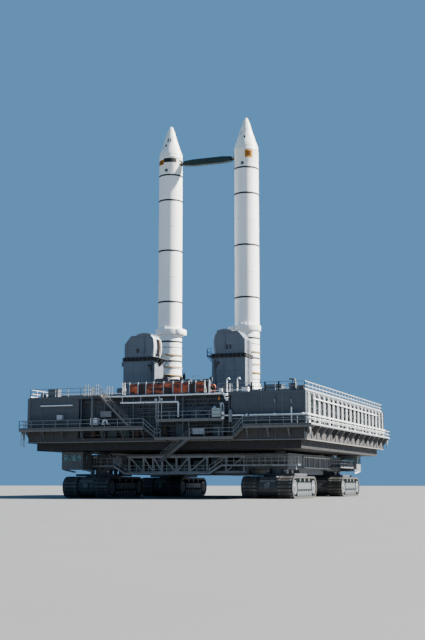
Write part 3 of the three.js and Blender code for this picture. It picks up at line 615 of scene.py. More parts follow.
def booster_bands(hand):
    kinds = {"band": (booster_piece(hand, "bands", "band", slot="nozzle_black"), RADIUS + 0.03),
             "tan": (booster_piece(hand, "tan_bands", "tan"), RADIUS + 0.115)}
    # Factory joints, tan rings and black lines, some of which are painted shadow under the stiffeners.
    for inches, height, kind in [(inches, 0.25, "band") for inches in FACTORY_JOINTS] + list(AFT_LINES_AND_RING_SHADOWS):
        (piece, outer), inner = kinds[kind], RADIUS - 0.03
        low, high = station(inches) - height / 2, station(inches) + height / 2
        piece.turned([(inner, low), (outer, low), (outer, high), (inner, high)], sides=CASE_SIDES)


def booster_base(hand):
    top = station(1837)
    skirt = booster_piece(hand, "aft_skirt_skin", solid="aft_skirt")
    skirt.turned([(2.62, 0), (2.64, 0.12), (2.56, 0.24), (2.2, 1.1), (RADIUS + 0.02, top - 0.25),
                  (RADIUS + 0.02, top), (RADIUS - 0.2, top), (RADIUS - 0.2, top - 0.3), (2.08, 0.9),
                  (2.36, 0.3), (2.14, 0.22), (2.14, 0)], sides=64)
    for azimuth in (45, 135, 225, 315):
        skirt.bar((*around(2.5, azimuth), 0.02), (*around(2.075, azimuth), 1.2), 0.42, 0.3)
    for azimuth in range(0, 360, 15):
        skirt.bar((*around(2.66, azimuth), 0.16), (*around(1.93, azimuth), top - 0.2), 0.06)
    nozzle = booster_piece(hand, "nozzle_skin", "nozzle", "nozzle", "nozzle_black", f"nozzle_{hand}")
    pivot, ball = 1.95, 0.31
    cup = arc_points(0, pivot, ball, -20, -76, 4)
    inside = [(0, 1.25), (0.5, 1.25), (0.84, 0.5), (1.15, -0.2), (1.42, -0.9), (1.62, -1.5)]
    outside = [(1.75, -1.5), (1.74, -1.4), (1.55, -0.9), (1.28, -0.2), (1.3, -0.12), (1.24, -0.04),
               (0.98, 0.5), (0.72, 1.3), (0.5, cup[0][1])]
    nozzle.turned(inside + outside + cup + [(0, pivot - 0.301)], sides=48)


def ring_details(hand, side):
    """Covers, studs and struts' brackets on the attach ring, drawn above its foot."""
    dress(f"booster_{hand}_systems_tunnel", "case")
    piece = booster_piece(hand, "ring_skin", solid="attach_ring")
    piece.at(side * BOOSTER_X, BOOSTER_Y, BOOSTER_FOOT + 10.03)
    ring = [(0.01, 0.1), (0.22, 0.12), (0.26, 0.2), (0.26, 0.86), (0.2, 0.92), (0.01, 0.94)]
    piece.turned([(RADIUS + out, up) for out, up in ring], sides=64)
    cover = [(0.2, 0), (0.33, 0.06), (0.38, 0.2), (0.37, 0.85), (0.24, 1.02), (0.01, 1.05), (0.01, 0)]
    span = (-70, 40) if side < 0 else (-40, 55)
    piece.turned([(RADIUS + out, up) for out, up in cover], sides=30, arc=span)
    fairing = [(1.3, -1.5), (1.75, -1.46), (2.15, -1.26), (2.42, -0.95), (2.56, -0.5), (2.6, 0.0)]
    fairing += [(a, -b) for a, b in reversed(fairing[:-1])]
    steps = ((0.05, 0.0), (0.02, 0.06), (0.0, 0.16), (0.0, 0.74), (0.02, 0.84), (0.06, 0.9))
    verts = [(-side * a * (1 - inset), b * (1 - inset), height)
             for inset, height in steps for a, b in fairing]
    count, rows = len(fairing), len(steps)
    sheets = [(r * count + i, r * count + i + 1, (r + 1) * count + i + 1, (r + 1) * count + i)
              for r in range(rows - 1) for i in range(count - 1)]
    ends = [(r * count, (r + 1) * count, (r + 2) * count - 1, (r + 1) * count - 1) for r in range(rows - 1)]
    piece.add(verts, sheets + ends + [tuple(range(count)), tuple(range((rows - 1) * count, rows * count))])
    for azimuth in (-38, -26, -12, -2) if side < 0 else (-20, -6, 10, 24):
        x, y = around(RADIUS + 0.16, azimuth)
        piece.block(x, y, 0.2, 0.13, 0.98, 1.1)
        piece.disc(0.08, 0, 0.08, x, y, 1.08, 8)
    for azimuth in range(0, 360, 10):
        piece.disc(0.05, 0, 0.08, *around(RADIUS + 0.18, azimuth), 0.9, 6)
    if side > 0:
        bulge = [(0, -0.4), (0.42, -0.36), (0.6, -0.16), (0.62, 0.1), (0.5, 0.32), (0.28, 0.42), (0, 0.46)]
        piece.turned(bulge, -1.95, -1.25, 0.42)
    tunnel = booster_piece(hand, "tunnel_covers", "pale")
    out = Vector((*around(1, side * 130), 0))
    across = Vector((-out.y, out.x, 0)) * 0.17
    for z in spread(station(1800), station(420), 1.3):
        centre = out * (RADIUS + 0.15) + Vector((0, 0, z))
        tunnel.bar(centre - across, centre + across, 0.08, 0.10)


def beam_details():
    """The tie beam's flanges, stiffeners and end forks, and the brackets that its pins go through."""
    dress("nose_tie_beam", "beam")
    rise, reach = station(451), BOOSTER_X - RADIUS
    middle = (0, BOOSTER_Y, BOOSTER_FOOT + rise)
    steel = Piece("nose_tie_beam_flanges", "beam_green", "beam").at(*middle)
    for sign in BOTH:
        edge = [(-reach + 0.5, 0.30), (-reach + 2.0, 0.45), (reach - 2.0, 0.45), (reach - 0.5, 0.30)]
        steel.bars([(x, 0, sign * z) for x, z in edge], 0.80, 0.05)
    for x in spread(-reach + 0.7, reach - 0.7, 0.75):
        half = 0.27 + 0.15 * min(1, (reach - 0.5 - abs(x)) / 1.5)
        steel.block(x, 0, 0.02, 0.38, -half, half)
    ends = Piece("nose_tie_beam_forks", "beam_green", "band").at(*middle)
    pins = Piece("nose_tie_beam_pins", "beam_green", "brass").at(*middle)
    brackets = Piece("nose_tie_beam_brackets", "booster_white", "band")
    for side in BOTH:
        for y in (-0.19, 0.19):
            ends.block(side * (reach - 0.26), y, 0.24, 0.05, -0.17, 0.17)
        pins.disc(0.1, -0.36, 0.36, side * (reach - 0.22), 0, 0, 12, "y")
        for y in (-0.34, 0.34):
            pins.disc(0.14, -0.04, 0.04, side * (reach - 0.22), y, 0, 6, "y")
        brackets.at(side * BOOSTER_X, BOOSTER_Y, BOOSTER_FOOT)
        brackets.block(side * (0.02 - RADIUS), 0, 0.05, 0.3, rise - 0.3, rise + 0.5)
        for low, high in ((-0.2, 0.0), (0.3, 0.5)):
            wall_patch(brackets, (-side * 68, -side * 102), (rise + low, rise + high), 0.07)


def make_boosters():
    for hand, side in HANDS.items():
        for segment in SEGMENTS:
            case_segment(hand, *segment)
        nose_skins(hand)
        nose_marks(hand)
        booster_bands(hand)
        booster_base(hand)
        ring_details(hand, side)
    beam_details()


# Service masts, drawn with their open side towards local +x

MAST_X, MAST_Y = 7.0, -14.7
MAST_HALF_X, MAST_HALF_Y = 2.5, 1.6
HEAD_BACK, HEAD_HALF, HEAD_FOOT, HEAD_ROOF = -2.42, 1.45, 6.2, 9.45
SHELF = (MAST_HALF_X, MAST_HALF_X + 0.8, 6.02)
FRONT = ((-1.9, 7.8), 4.2, (-22.4, 16.6))  # centre, radius and span of degrees
BONNET = ((0.7, 7.1), 2.69, (64.5, 115.5))


def mast_piece(hand, name, slot, material, body="root"):
    side = HANDS[hand]
    piece = Piece(f"mast_{hand}_{name}", slot, material, body)
    return piece.at(side * MAST_X, MAST_Y, DECK, 0 if side < 0 else 180)


def curved_plate(piece, curve, inside, outside, y0, y1, count=10):
    """A plate bent along a curve, between two offsets from its radius."""
    centre, radius, span = curve
    outer = arc_points(*centre, radius + outside, *span, count)
    inner = arc_points(*centre, radius + inside, *reversed(span), count)
    piece.prism(outer + inner, y0, y1, "y")


def mast_frames(hand):
    """Frames, door and base of the block, and the edges of the head."""
    hx, hy, back, foot, roof = MAST_HALF_X, MAST_HALF_Y, HEAD_BACK, HEAD_FOOT, HEAD_ROOF
    frames = mast_piece(hand, "frames", "mast_paint", "mast")
    edge = [(1.66, roof - 0.04), (back + 1.07, roof - 0.04),
            (back + 0.03, roof - 1.27), (back + 0.03, foot + 0.05)]
    for sy in BOTH:
        for sx in BOTH:
            frames.block(sx * (hx - 0.03), sy * (hy - 0.03), 0.05, 0.05, 0.02, 5.6)
        y0, y1 = sy * (hy - 0.02), sy * (hy + 0.02)
        frames.slats((1.85, 3.75), 0.035, -hx, hx, y0, y1)
        frames.ribs((-0.85, 0.85), 0.02, y0, y1, 0.25, 5.6)
        y0, y1 = sy * (HEAD_HALF - 0.02), sy * (HEAD_HALF + 0.018)
        for (xa, za), (xb, zb) in zip(edge, edge[1:]):
            frames.bar((xa, (y0 + y1) / 2, za), (xb, (y0 + y1) / 2, zb), 0.038 if xa != xb else 0.06, 0.07)
        frames.box(back, 1.95, y0, y1, foot + 0.02, foot + 0.09)
    frames.box(-hx - 0.14, hx + 0.1, -hy - 0.14, hy + 0.14, 0.004, 0.2)
    for x0, x1 in ((hx - 0.02, hx + 0.03), (-hx - 0.03, -hx + 0.02)):
        frames.slats(spread(0.6, 5.2, 0.92), 0.06, x0, x1, -hy, hy)
    frames.box(hx - 0.02, hx + 0.05, -0.55, 0.45, 0.25, 2.35)
    frames.bar((hx + 0.09, 0.3, 1.2), (hx + 0.09, 0.3, 1.45), 0.04)


def mast_mouth(hand, near):
    """Plates beside the mouth, bent to the head's rounded front, and the pipes inside it."""
    rim = mast_piece(hand, "mouth_rim", "mast_paint", "rim")
    half = HEAD_HALF + 0.018
    for inner, outer in ((near * 0.5, near * half), (-near * 1.12, -near * half)):
        curved_plate(rim, FRONT, -0.03, 0.03, inner, outer)
        curved_plate(rim, FRONT, -0.45, 0.06, inner, inner + math.copysign(0.07, outer))
    ear = [(1.9, 6.22), (2.26, 6.22), (2.31, 7.0), (2.31, 7.8), (2.24, 7.8), (2.1, 7.0)]
    rim.prism(ear, near * (half - 0.03), near * half, "y")
    rim.prism([(2.1, 8.95), (2.16, 9.02), (1.74, 9.47), (1.64, 9.47)], -half, half, "y")
    fill = mast_piece(hand, "mouth_fittings", "rusty_steel", "inside")
    for y in (-0.35, -0.1, 0.15, 0.4):
        for z in (7.15, 7.75, 8.35):
            fill.disc(0.11, 1.74, 1.86, 0, y, z, 12, "x")
        fill.tube([(1.8, y, 7.15), (1.92, y, 6.95), (1.72, y, 6.62), (1.3, y, 6.5)], 0.05)
    for y in (-0.68, 0.68):
        fill.upright(1.1, y, 6.5, 8.95, 0.06)
        fill.upright(0.8, y, 6.5, 8.95, 0.04)
    fill.slats((6.9, 7.6, 8.3), 0.05, 0.75, 1.2, -0.74, 0.74)
    curved_plate(fill, FRONT, -0.02, 0.015, -near * 0.74, -near * 1.2)


def mast_fittings(hand, near):
    """Ladder, vents, cable runs and boxes on the housing, and the gallery's rails and ribs."""
    hx, hy, wall = MAST_HALF_X, MAST_HALF_Y, near * HEAD_HALF
    dark = mast_piece(hand, "fittings", "truck_steel", "truck")
    ladder(dark, -hx - 0.14, near * 0.35, 0.25, 8.1, 0.4)
    for y in (near * 0.35 - 0.2, near * 0.35 + 0.2):
        dark.slats((0.6, 2.6, 4.6, 6.6, 7.9), 0.05, -hx - 0.15, -hx + 0.05, y - 0.03, y + 0.03)
    for x, wide in ((-0.55, 0.5),) if hand == "left" else ((0.12, 0.28), (-0.36, 0.28)):
        dark.box(x, x + wide, wall, wall + near * 0.02, 6.88, 7.5)
        dark.slats(spread(6.92, 7.46, 0.06), 0.02, x + 0.02, x + wide - 0.02, wall, wall + near * 0.04)
    dark.upright(1.95, near * (hy + 0.06), 0.3, 5.6, 0.035, 6)
    dark.box(1.75, 1.92, near * hy, near * (hy + 0.12), 4.3, 4.9)
    dark.upright(2.1, near * (hy + 0.06), 3.9, 5.4, 0.05, 6)
    rails = mast_piece(hand, "gallery_fittings", "truck_steel", "dim")
    x0, x1, floor = SHELF
    edge, outer = hy + 0.08, x1 - 0.05
    for y in (-edge, edge):
        railing(rails, [(x0 + 0.1, y, floor), (outer, y, floor)], 1.0, 0.65, 0.05)
    rails.bar((outer, -edge, floor + 0.5), (outer, edge, floor + 0.5), 0.05)
    for y in (-0.56, 0.56):
        rails.bar((outer, y, floor), (outer, y, floor + 0.5), 0.05)
    rails.box(x1 - 0.14, x1 - 0.02, near * (edge - 0.04), near * (edge + 0.06), floor, floor + 0.85)
    for y in (-edge, -0.6, 0.6, edge):
        rails.bar((x0 + 0.02, y, 5.1), (x1 - 0.08, y, 5.88), 0.09)
    for sy in BOTH:
        rails.ribs(spread(-hx, hx, 0.62), 0.03, sy * (hy + 0.11), sy * (hy + 0.15), 5.68, 6.18)
    if hand == "left":
        rails.box(-hx - 0.36, -hx, near * 1.5, near * 0.7, 4.95, 5.6)
    boxes = mast_piece(hand, "junction_boxes", "rusty_steel", "tank")
    for x, z, tall in ((1.25, 5.72, 0.4), (1.45, 4.75, 0.32)):
        boxes.box(x, x + 0.3, near * (hy - 0.01), near * (hy + 0.19), z, z + tall)
        boxes.box(x + 0.03, x + 0.27, near * (hy + 0.1), near * (hy + 0.21), z + 0.03, z + tall - 0.03)


def mast_bonnet(hand):
    """Ribs over the bonnet and cheeks beside it that close the gap over the roof."""
    body = f"mast_{hand}_bonnet"
    centre, radius, span = BONNET
    across = HEAD_HALF + 0.115
    hood = mast_piece(hand, "bonnet_frames", "mast_paint", "rim", body)
    for y in (-across + 0.03, -0.75, 0, 0.75, across - 0.03):
        curved_plate(hood, BONNET, -0.01, 0.04, y - 0.03, y + 0.03)
    for angle in (span[0] + 0.8, 90, span[1] - 0.8):
        curved_plate(hood, (centre, radius, (angle - 0.8, angle + 0.8)), -0.01, 0.04, -across, across, 1)
    cheeks = mast_piece(hand, "bonnet_cheeks", "mast_paint", "mast", body)
    shape = arc_points(*centre, radius - 0.02, *span, 12)
    shape += [(shape[-1][0], 9.38), (shape[0][0], 9.38)]
    pins = mast_piece(hand, "hubs", "mast_paint", "mast")
    for sy in BOTH:
        cheeks.prism(shape, sy * (across - 0.06), sy * (across - 0.01), "y")
        pins.disc(0.12, sy * (HEAD_HALF + 0.165), sy * (HEAD_HALF + 0.2), centre[0], 0, centre[1], 12, "y")


def make_masts():
    for hand, near in HANDS.items():
        mast_frames(hand)
        mast_mouth(hand, near)
        mast_fittings(hand, near)
        mast_bonnet(hand)


# Platform. On a wall, x runs along it, y = 0 is its face and outside is below 0.

EDGE = -WALK_EDGE_Y
RIB_PITCH = 2.6
WALLS = {"near": (0, HALF_Y, HALF_X), "right": (90, HALF_X, HALF_Y), "far": (180, HALF_Y, HALF_X),
         "left": (270, HALF_X, HALF_Y)}  # turn in degrees, distance from the middle, half length


def wall_piece(wall, name, slot, material):
    return Piece(f"platform_{wall}_{name}", slot, material).on_wall(*WALLS[wall][:2])


def wall_marks(wall, half, cuts, spacing):
    """Flanges and stiffeners on one wall."""
    piece = wall_piece(wall, "stiffeners", "platform_paint", "panel")
    piece.box(-half, half, -0.07, 0.02, 13.98, 14.2)
    for low, high in cuts:
        for proud, z0, z1 in ((0.05, 9.5, 9.58), (0.06, 13.84, 13.94), (0.035, 12.1, 12.16)):
            piece.box(low, high, -proud, 0.02, z0, z1)
        places = spread(low + 0.15, high - 0.15, spacing)
        piece.ribs(places, 0.04, -0.10, 0.02, SKIRT_TOP + 0.06, 9.5)
        piece.ribs(places, 0.035, -0.035, 0.02, 10.0, 13.84)
    for low, high in ((-half - 0.22, -half + 0.22), (half - 0.22, half)):
        piece.box(low, high, -0.08, 0.02, 9.9, 14.1)
    flange = wall_piece(wall, "flange", "platform_paint", "edge")
    flange.box(-half, half, -0.14, 0.02, SKIRT_TOP - 0.05, SKIRT_TOP + 0.09)


def wall_ribs(wall, half):
    """Ribs with near-black sheets between them that paint the recesses' shade, and the pipes that run along
    them.
    """
    count = int(2 * (half - 0.4) / RIB_PITCH) + 1
    places = [(i - (count - 1) / 2) * RIB_PITCH for i in range(count)]
    ribs = wall_piece(wall, "ribs", "platform_paint", "white")
    ribs.ribs(places, 0.1, -0.215, 0.01, 10.19, 13.96)
    ribs.ribs(places, 0.16, -0.17, 0.01, 13.9, 14.0)
    ribs.ribs(places, 0.05, -0.36, -0.1, 10.6, 10.72)
    ribs.ribs([x + 1.0 for x in places], 0.05, -0.12, 0.01, 10.2, 13.7)
    # Thin near-black sheets flat on the wall between the ribs: painted shade of the recesses.
    gaps = wall_piece(wall, "painted_shade_between_ribs", "platform_paint", "gap")
    for x in places[:-1]:
        for low, high in ((x + 0.14, x + 0.92), (x + 1.08, x + 2.46)):
            gaps.box(low, high, -0.02, 0.01, 10.22, 13.86)
            gaps.box(low, high, -0.05, 0.01, 12.0, 12.08)
    pipes = wall_piece(wall, "pipes", "walkway_paint", "white")
    pipes.box(-half, half, -0.44, -0.30, 11.0, 11.14)
    pipes.box(-half + 0.3, half - 0.3, -0.38, -0.30, 10.62, 10.70)
    pipes.box(-half + 2.5, half - 6.0, -0.42, -0.30, 13.2, 13.32)
    places = spread(-half + 1.0, half - 1.0, 5.2)
    pipes.ribs(places, 0.06, -0.36, -0.02, 10.5, 11.2)
    pipes.ribs(places, 0.3, -0.30, -0.05, 9.8, 10.35)


def platform_walls():
    for wall, (_, _, half) in WALLS.items():
        if wall == "near":
            wall_marks(wall, half, [(-half, BAY[0] - 0.1), (BAY[1] + 0.1, half)], 2.05)
        else:
            wall_marks(wall, half, [(-half, half)], RIB_PITCH)
            wall_ribs(wall, half)


def near_pipes():
    """Pipes on the near wall, drawn on it."""
    white = wall_piece("near", "pipes", "walkway_paint", "white")
    white.tube([(-8.5, -0.1, 14.05), (9.2, -0.1, 14.05), (9.4, -0.1, 13.9), (9.4, -0.1, 13.3)], 0.11, 10)
    white.tube([(-6.1, -0.1, 13.14), (2.5, -0.1, 13.10), (2.62, -0.1, 12.98), (2.62, -0.1, 11.0)], 0.11, 10)
    for x in (-5.8, -3.0, -0.2, 2.2):
        white.bar((x, -0.1, 13.1), (x, -0.1, 13.98), 0.05)
    white.level(-18.6, -13.5, -0.2, 13.0, 0.08, 10)
    for x in (-18.3, -16.0, -13.8):
        white.bar((x, 0, 13.0), (x, -0.2, 13.0), 0.06)
    corner = HALF_X + 0.37
    white.level(9.3, 12.2, -0.3, 11.07, 0.11, 10)
    white.tube([(12.9, -0.3, 11.07), (corner, -0.3, 11.07), (corner, 0.4, 11.07)], 0.11, 10)
    for x in (12.55, 16.4, 18.7, 20.3):
        white.disc(0.17, -0.14, 0.14, x, -0.3, 11.07, 12, "x")
        white.bar((x, 0, 11.3), (x, -0.3, 11.07), 0.07)
    white.upright(18.7, -0.16, 9.9, 12.0, 0.1)
    ball, front = [(0, -0.2), *arc_points(0, 0, 0.2, -75, 75, 10), (0, 0.2)], EDGE - NEAR + 0.12
    for z in (10.72, 11.35):
        white.turned(ball, 9.4, front, z, 14)
        white.bar((9.4, front, z), (9.4, -0.3, z), 0.06)
    white.box(-10.54, -9.5, -0.5, 0.3, 10.15, 11.1)
    white.box(-10.46, -9.58, -0.53, -0.48, 10.23, 11.02)
    white.disc(0.33, 0.0, 0.28, 9.55, -0.32, 13.75)
    white.disc(0.2, -0.2, 0.25, 9.75, -0.34, 13.25, 12)
    elbow = wall_piece("near", "elbow", "walkway_paint", "white")
    bend = [(x, -0.35, z) for x, z in arc_points(-8.3, 10.45, 0.34, 180, 0, 8)]
    elbow.tube([(-8.64, -0.35, 10.2), *bend, (-7.96, -0.35, 10.3), (-7.96, 0.3, 10.2)], 0.12, 12)
    elbow.disc(0.2, -0.05, 0.05, -8.64, -0.35, 10.2, 12)
    grey = wall_piece("near", "conduits", "walkway_paint", "grey")
    grey.tube([(10.3, -0.26, 10.62), (20.9, -0.26, 10.62), (20.9, 0.4, 10.62)], 0.06)
    grey.level(12.8, 20.4, -0.18, 10.3, 0.04, 6)
    for x in (14.6, 17.4):
        grey.upright(x, -0.05, 10.3, 13.9, 0.04, 6)
    bottle = [(0, 0), (0.2, 0.04), (0.27, 0.16), (0.27, 1.5), (0.2, 1.66), (0, 1.72)]
    grey.turned(bottle, 10.25, -0.3, 10.15, 18)
    for z in (10.5, 11.0, 11.5):
        grey.turned([(0.26, -0.03), (0.3, -0.03), (0.3, 0.03), (0.26, 0.03)], 10.25, -0.3, z, 18)
    for x, z in ((16.4, 12.95), (18.7, 12.9)):
        grey.disc(0.15, -0.12, 0.12, x, -0.16, z, 10)
        grey.box(x - 0.1, x + 0.1, -0.14, 0, z - 0.4, z - 0.12)
    grey.box(-9.2, -7.5, -0.05, 0.4, 11.25, 12.05)
    grey.box(-9.12, -7.58, -0.08, -0.04, 11.33, 11.97)


def near_boxes():
    """Cabinets, boxes and lamps on the near wall, drawn on it."""
    green = wall_piece("near", "cabinets", "walkway_paint", "cabinet")
    green.box(7.72, 9.08, -0.72, -0.2, 10.9, 12.06)
    for low, high in ((7.78, 8.36), (8.42, 9.02)):
        green.box(low, high, -0.75, -0.70, 10.98, 11.98)
    pale = wall_piece("near", "boxes", "walkway_paint", "rim")
    pale.box(4.8, 6.38, -0.35, 0.3, 8.62, 9.3)
    pale.ribs(spread(4.9, 6.28, 0.23), 0.035, -0.41, -0.35, 8.66, 9.26)
    pale.box(4.74, 6.44, -0.43, 0.3, 9.3, 9.37)
    pale.box(-15.9, -15.0, -0.4, 0, 11.0, 11.65)
    pale.box(-15.84, -15.06, -0.43, -0.38, 11.06, 11.59)
    for x, z in ((8.05, 12.1), (8.95, 12.55)):
        pale.turned([(0, 0), *arc_points(0, 0, 0.26, 0, 75, 5), (0, 0.26)], x, -0.45, z, 16)
        pale.disc(0.12, -0.45, 0, x, -0.45, z, 10)
    pale.tube([(9.35, -0.45, 10.75), (9.35, -0.45, 12.4), (9.2, -0.45, 12.75), (8.95, -0.45, 12.8)], 0.06)
    lamp = wall_piece("near", "lamps", "guard_orange", "lamp")
    lamp.disc(0.13, 0, 0.26, 8.62, -0.3, 13.2, 12)
    lamp.bar((8.62, -0.3, 13.46), (8.62, -0.3, 13.7), 0.05)


TRAYS = ((12.9, -4.0, 10.0), (12.35, -4.0, 10.0), (11.75, -4.0, 10.0), (11.2, -4.1, 2.4), (9.9, -12.2, 9.8),
         (9.15, -8.2, 9.8))
BAY_PIPES = ((12.05, -3.8, 9.6, 0.05), (10.2, -7.9, -0.6, 0.05), (13.45, -12.0, 9.8, 0.07),
             (8.75, -12.0, 4.2, 0.06))
BAY_MACHINES = ((-8.4, -6.9, 8.4, 9.7), (-5.9, -5.0, 8.4, 10.4), (2.0, 3.6, 8.4, 10.2), (7.4, 8.9, 8.4, 9.9),
                (4.2, 5.6, 10.75, 12.2), (0.9, 1.9, 10.75, 11.9))
RACK_Y = 0.62


def bay_piece(name, slot, material):
    return Piece(f"service_bay_{name}", slot, material).on_wall(0, HALF_Y)


def bay_fittings():
    """Frames, cable trays, racks, pipes, machines and tanks, drawn on the near wall."""
    back = BAY_DEPTH
    steel = bay_piece("frames", "platform_paint", "dim")
    steel.ribs(spread(BAY[0] + 0.2, BAY[1] - 0.2, 1.75), 0.06, back - 0.12, back, 8.35, 13.8)
    steel.slats((9.4, 11.4, 12.8), 0.12, *BAY, back - 0.16, back - 0.1)
    steel.ribs((-12.3, -8.6, -4.2, 3.2, 9.9), 0.09, 0.1, 0.28, 8.32, 13.83)
    trays = bay_piece("trays", "walkway_paint", "dim")
    for z, low, high in TRAYS:
        for y in (back - 0.62, back - 0.22):
            trays.bar((low, y, z), (high, y, z), 0.05, 0.12)
        for x in spread(low, high, 0.55):
            trays.bar((x, back - 0.62, z), (x, back - 0.22, z), 0.035)
    for x in spread(-4.0, 9.6, 0.95):
        trays.bar((x, back - 0.64, 10.7), (x, back - 0.64, 13.0), 0.05)
    for x, run, low, high in ((3.4, 1.8, 11.0, 13.4), (5.4, 1.6, 11.3, 13.4), (7.0, 1.5, 11.4, 13.2)):
        trays.bar((x, 0.35, low), (x + run, 0.35, high), 0.08)
    for x in (-11.2, -7.1, -3.0, 1.2, 6.9):
        trays.upright(x, back - 0.3, 8.35, 13.8, 0.07)
    for z, low, high, radius in BAY_PIPES:
        trays.level(low, high, back - 0.75, z, radius)
    racks = bay_piece("racks", "platform_paint", "navy")
    for x in spread(2.75, 7.6, 0.44):
        for y, top in ((RACK_Y, 12.3), (RACK_Y + 0.5, 12.1)):
            racks.bar((x, y, 10.7), (x, y, top), 0.07)
    for z in (10.95, 11.35, 11.75, 12.2):
        racks.bar((2.7, RACK_Y, z), (7.7, RACK_Y, z), 0.08)
        racks.box(2.7, 7.7, RACK_Y + 0.05, RACK_Y + 0.5, z - 0.03, z)
    for x0, x1, z0, z1 in ((2.85, 3.6, 11.0, 11.32), (4.0, 4.5, 11.4, 11.72), (5.0, 6.1, 11.0, 11.3),
                           (6.4, 7.4, 11.4, 11.7)):
        racks.box(x0, x1, RACK_Y + 0.1, RACK_Y + 0.45, z0, z1)
    pale = bay_piece("pipes", "walkway_paint", "pale")
    for x in (-0.48, 0.34):
        pale.tube([(x, -0.55, 10.65), (x, -0.55, 13.2), (x, -0.65, 13.35)], 0.05)
        pale.turned([(0, 0.32), (0.1, 0.3), (0.2, 0.08), (0.2, 0), (0, 0)], x, -0.68, 13.28, 12)
    pale.upright(-0.15, -0.6, 9.9, 13.2, 0.04)
    # Machines in a very dark green that paints the bay's shade.
    green = bay_piece("machines", "walkway_paint", "machine")
    for x0, x1, z0, z1 in BAY_MACHINES:
        middle = (x0 + x1) / 2
        green.box(x0, x1, back - 0.7, back - 0.1, z0, z1)
        for low, high in ((x0 + 0.07, middle - 0.03), (middle + 0.03, x1 - 0.07)):
            green.box(low, high, back - 0.73, back - 0.69, z0 + 0.08, z1 - 0.08)
    rust = bay_piece("tanks", "rusty_steel", "tank")
    tank = [(0, 0), (0.38, 0.08), (0.42, 0.2), (0.42, 1.2), (0.36, 1.36), (0, 1.42)]
    for x in (-10.6, -3.9, 0.3, 6.4):
        rust.turned(tank, x, back - 0.5, 8.36, 20)
        rust.disc(0.08, 1.4, 1.8, x, back - 0.5, 8.36, 8)


def far_sides(x, y, z):
    """The names of the right, far and left sides, with the corners that each runs between."""
    corners = [(x, -y, z), (x, y, z), (-x, y, z), (-x, -y, z)]
    return zip(("right", "far", "left"), corners, corners[1:])


def walkway_rails():
    rail_y, side_x = EDGE + 0.05, WALK_EDGE_X - 0.05
    rails = Piece("walkway_near_rails", "walkway_paint", "grey")
    for path in ([(-side_x, WALK), (-2.2, WALK), (-0.5, LOW_WALK), (0.35, LOW_WALK)],
                 [(4.65, LOW_WALK), (10.9, LOW_WALK), (12.2, WALK), (side_x, WALK)]):
        railing(rails, [(x, rail_y, z) for x, z in path])
    front = EDGE + 0.25
    railing(rails, [(-0.35, front, 10.65), (9.35, front, 10.65)])
    edges = Piece("walkway_near_edges", "walkway_paint", "edge")
    for low, high, foot, top in ((-side_x, -2.2, WALK - 0.45, WALK + 0.1),
                                 (12.2, side_x, WALK - 0.45, WALK + 0.1),
                                 (-0.5, 10.9, LOW_WALK - 0.42, LOW_WALK - 0.06)):
        edges.box(low, high, rail_y - 0.045, rail_y - 0.015, foot, top)
        edges.box(low, high, rail_y - 0.09, rail_y - 0.015, top - 0.08, top)
    edges.box(-0.4, 9.4, front - 0.06, front - 0.02, 10.35, 10.75)


def walkway_stairs():
    boarding = Piece("walkway_boarding_stairs", "walkway_paint", "edge")
    strings, lane = (EDGE + 0.05, EDGE + 0.85), (EDGE + 0.07, EDGE + 0.82)
    flight(boarding, (0.4, 5.15), (4.6, LOW_WALK), strings, 0.22, lane)
    boarding.box(-0.2, 0.6, EDGE + 0.05, EDGE + 0.85, 5.05, 5.13)
    stairs = Piece("walkway_near_stairs", "walkway_paint", "edge")
    strings, lane = (EDGE + 0.1, EDGE + 0.9), (EDGE + 0.13, EDGE + 0.87)
    flight(stairs, (-4.3, WALK), (-8.9, DECK - 0.05), strings, 0.24, lane)
    railing(stairs, [(-8.75, EDGE + 0.1, DECK), (-10.25, EDGE + 0.1, DECK), (-10.25, NEAR, DECK)], rail=0.06)
    for top, foot in ((-2.25, -0.35), (12.3, 10.75)):
        treads(stairs, (top, WALK), (foot, LOW_WALK), (EDGE + 0.08, NEAR - 0.1))


def far_walkways():
    """Rails of the other three walkways, and the caged ladder at the near left corner."""
    for wall, start, end in far_sides(WALK_EDGE_X - 0.05, WALK_EDGE_Y - 0.05, WALK):
        rails = Piece(f"walkway_{wall}_rails", "walkway_paint", "pale")
        railing(rails, [start, end])
        rails.bar(start, end, 0.03, 0.26)
    cage = Piece("walkway_left_ladder", "walkway_paint", "pale").at(-HALF_X - 0.45, NEAR - 0.55)
    ladder(cage, 0, 0, 7.1, 10.8)
    hoop = [(-0.5 * math.sin(math.pi * k / 6), -0.34 * math.cos(math.pi * k / 6)) for k in range(7)]
    for z in spread(7.5, 9.6, 0.7):
        cage.tube([(x, y, z) for x, y in hoop], 0.03, 5)
    for x, y in hoop[1::2]:
        cage.bar((x, y, 7.5), (x, y, 9.6), 0.04)


# Deck, drawn above its own level

GUARD_Y = NEAR + 0.35
GUARD_POSTS = (-6.0, -5.65, -4.9, -3.6, -2.4, -1.25, 0.25, 1.65, 2.95, 4.0, 5.0, 6.3, 7.0)
GUARD_GAPS = ("", "", "orange", "dark", "orange", "orange", "split", "orange", "orange", "short",
              "orange", "")
GUARD_SHEETS = {"": (), "orange": (("guard", 0.06, 1.45),), "dark": (("guard_dark", 0.06, 1.45),),
                "short": (("guard_dark", 0.06, 1.3),),
                "split": (("guard_dark", 0.06, 0.81), ("guard", 0.83, 1.45))}
GUARD_MACHINES = ((-1.6, -0.6, 2.2), (-0.5, 0.4, 2.35), (0.6, 1.9, 2.05), (2.1, 2.4, 2.3), (2.95, 3.7, 1.95),
                  (4.0, 5.3, 1.85), (5.5, 6.4, 1.9))


def deck_piece(name, slot, material, y=0.0, replaces=()):
    """A piece that stands on the deck, drawn from a line in y."""
    return Piece(f"deck_{name}", slot, material, replaces=replaces).at(0, y, DECK)


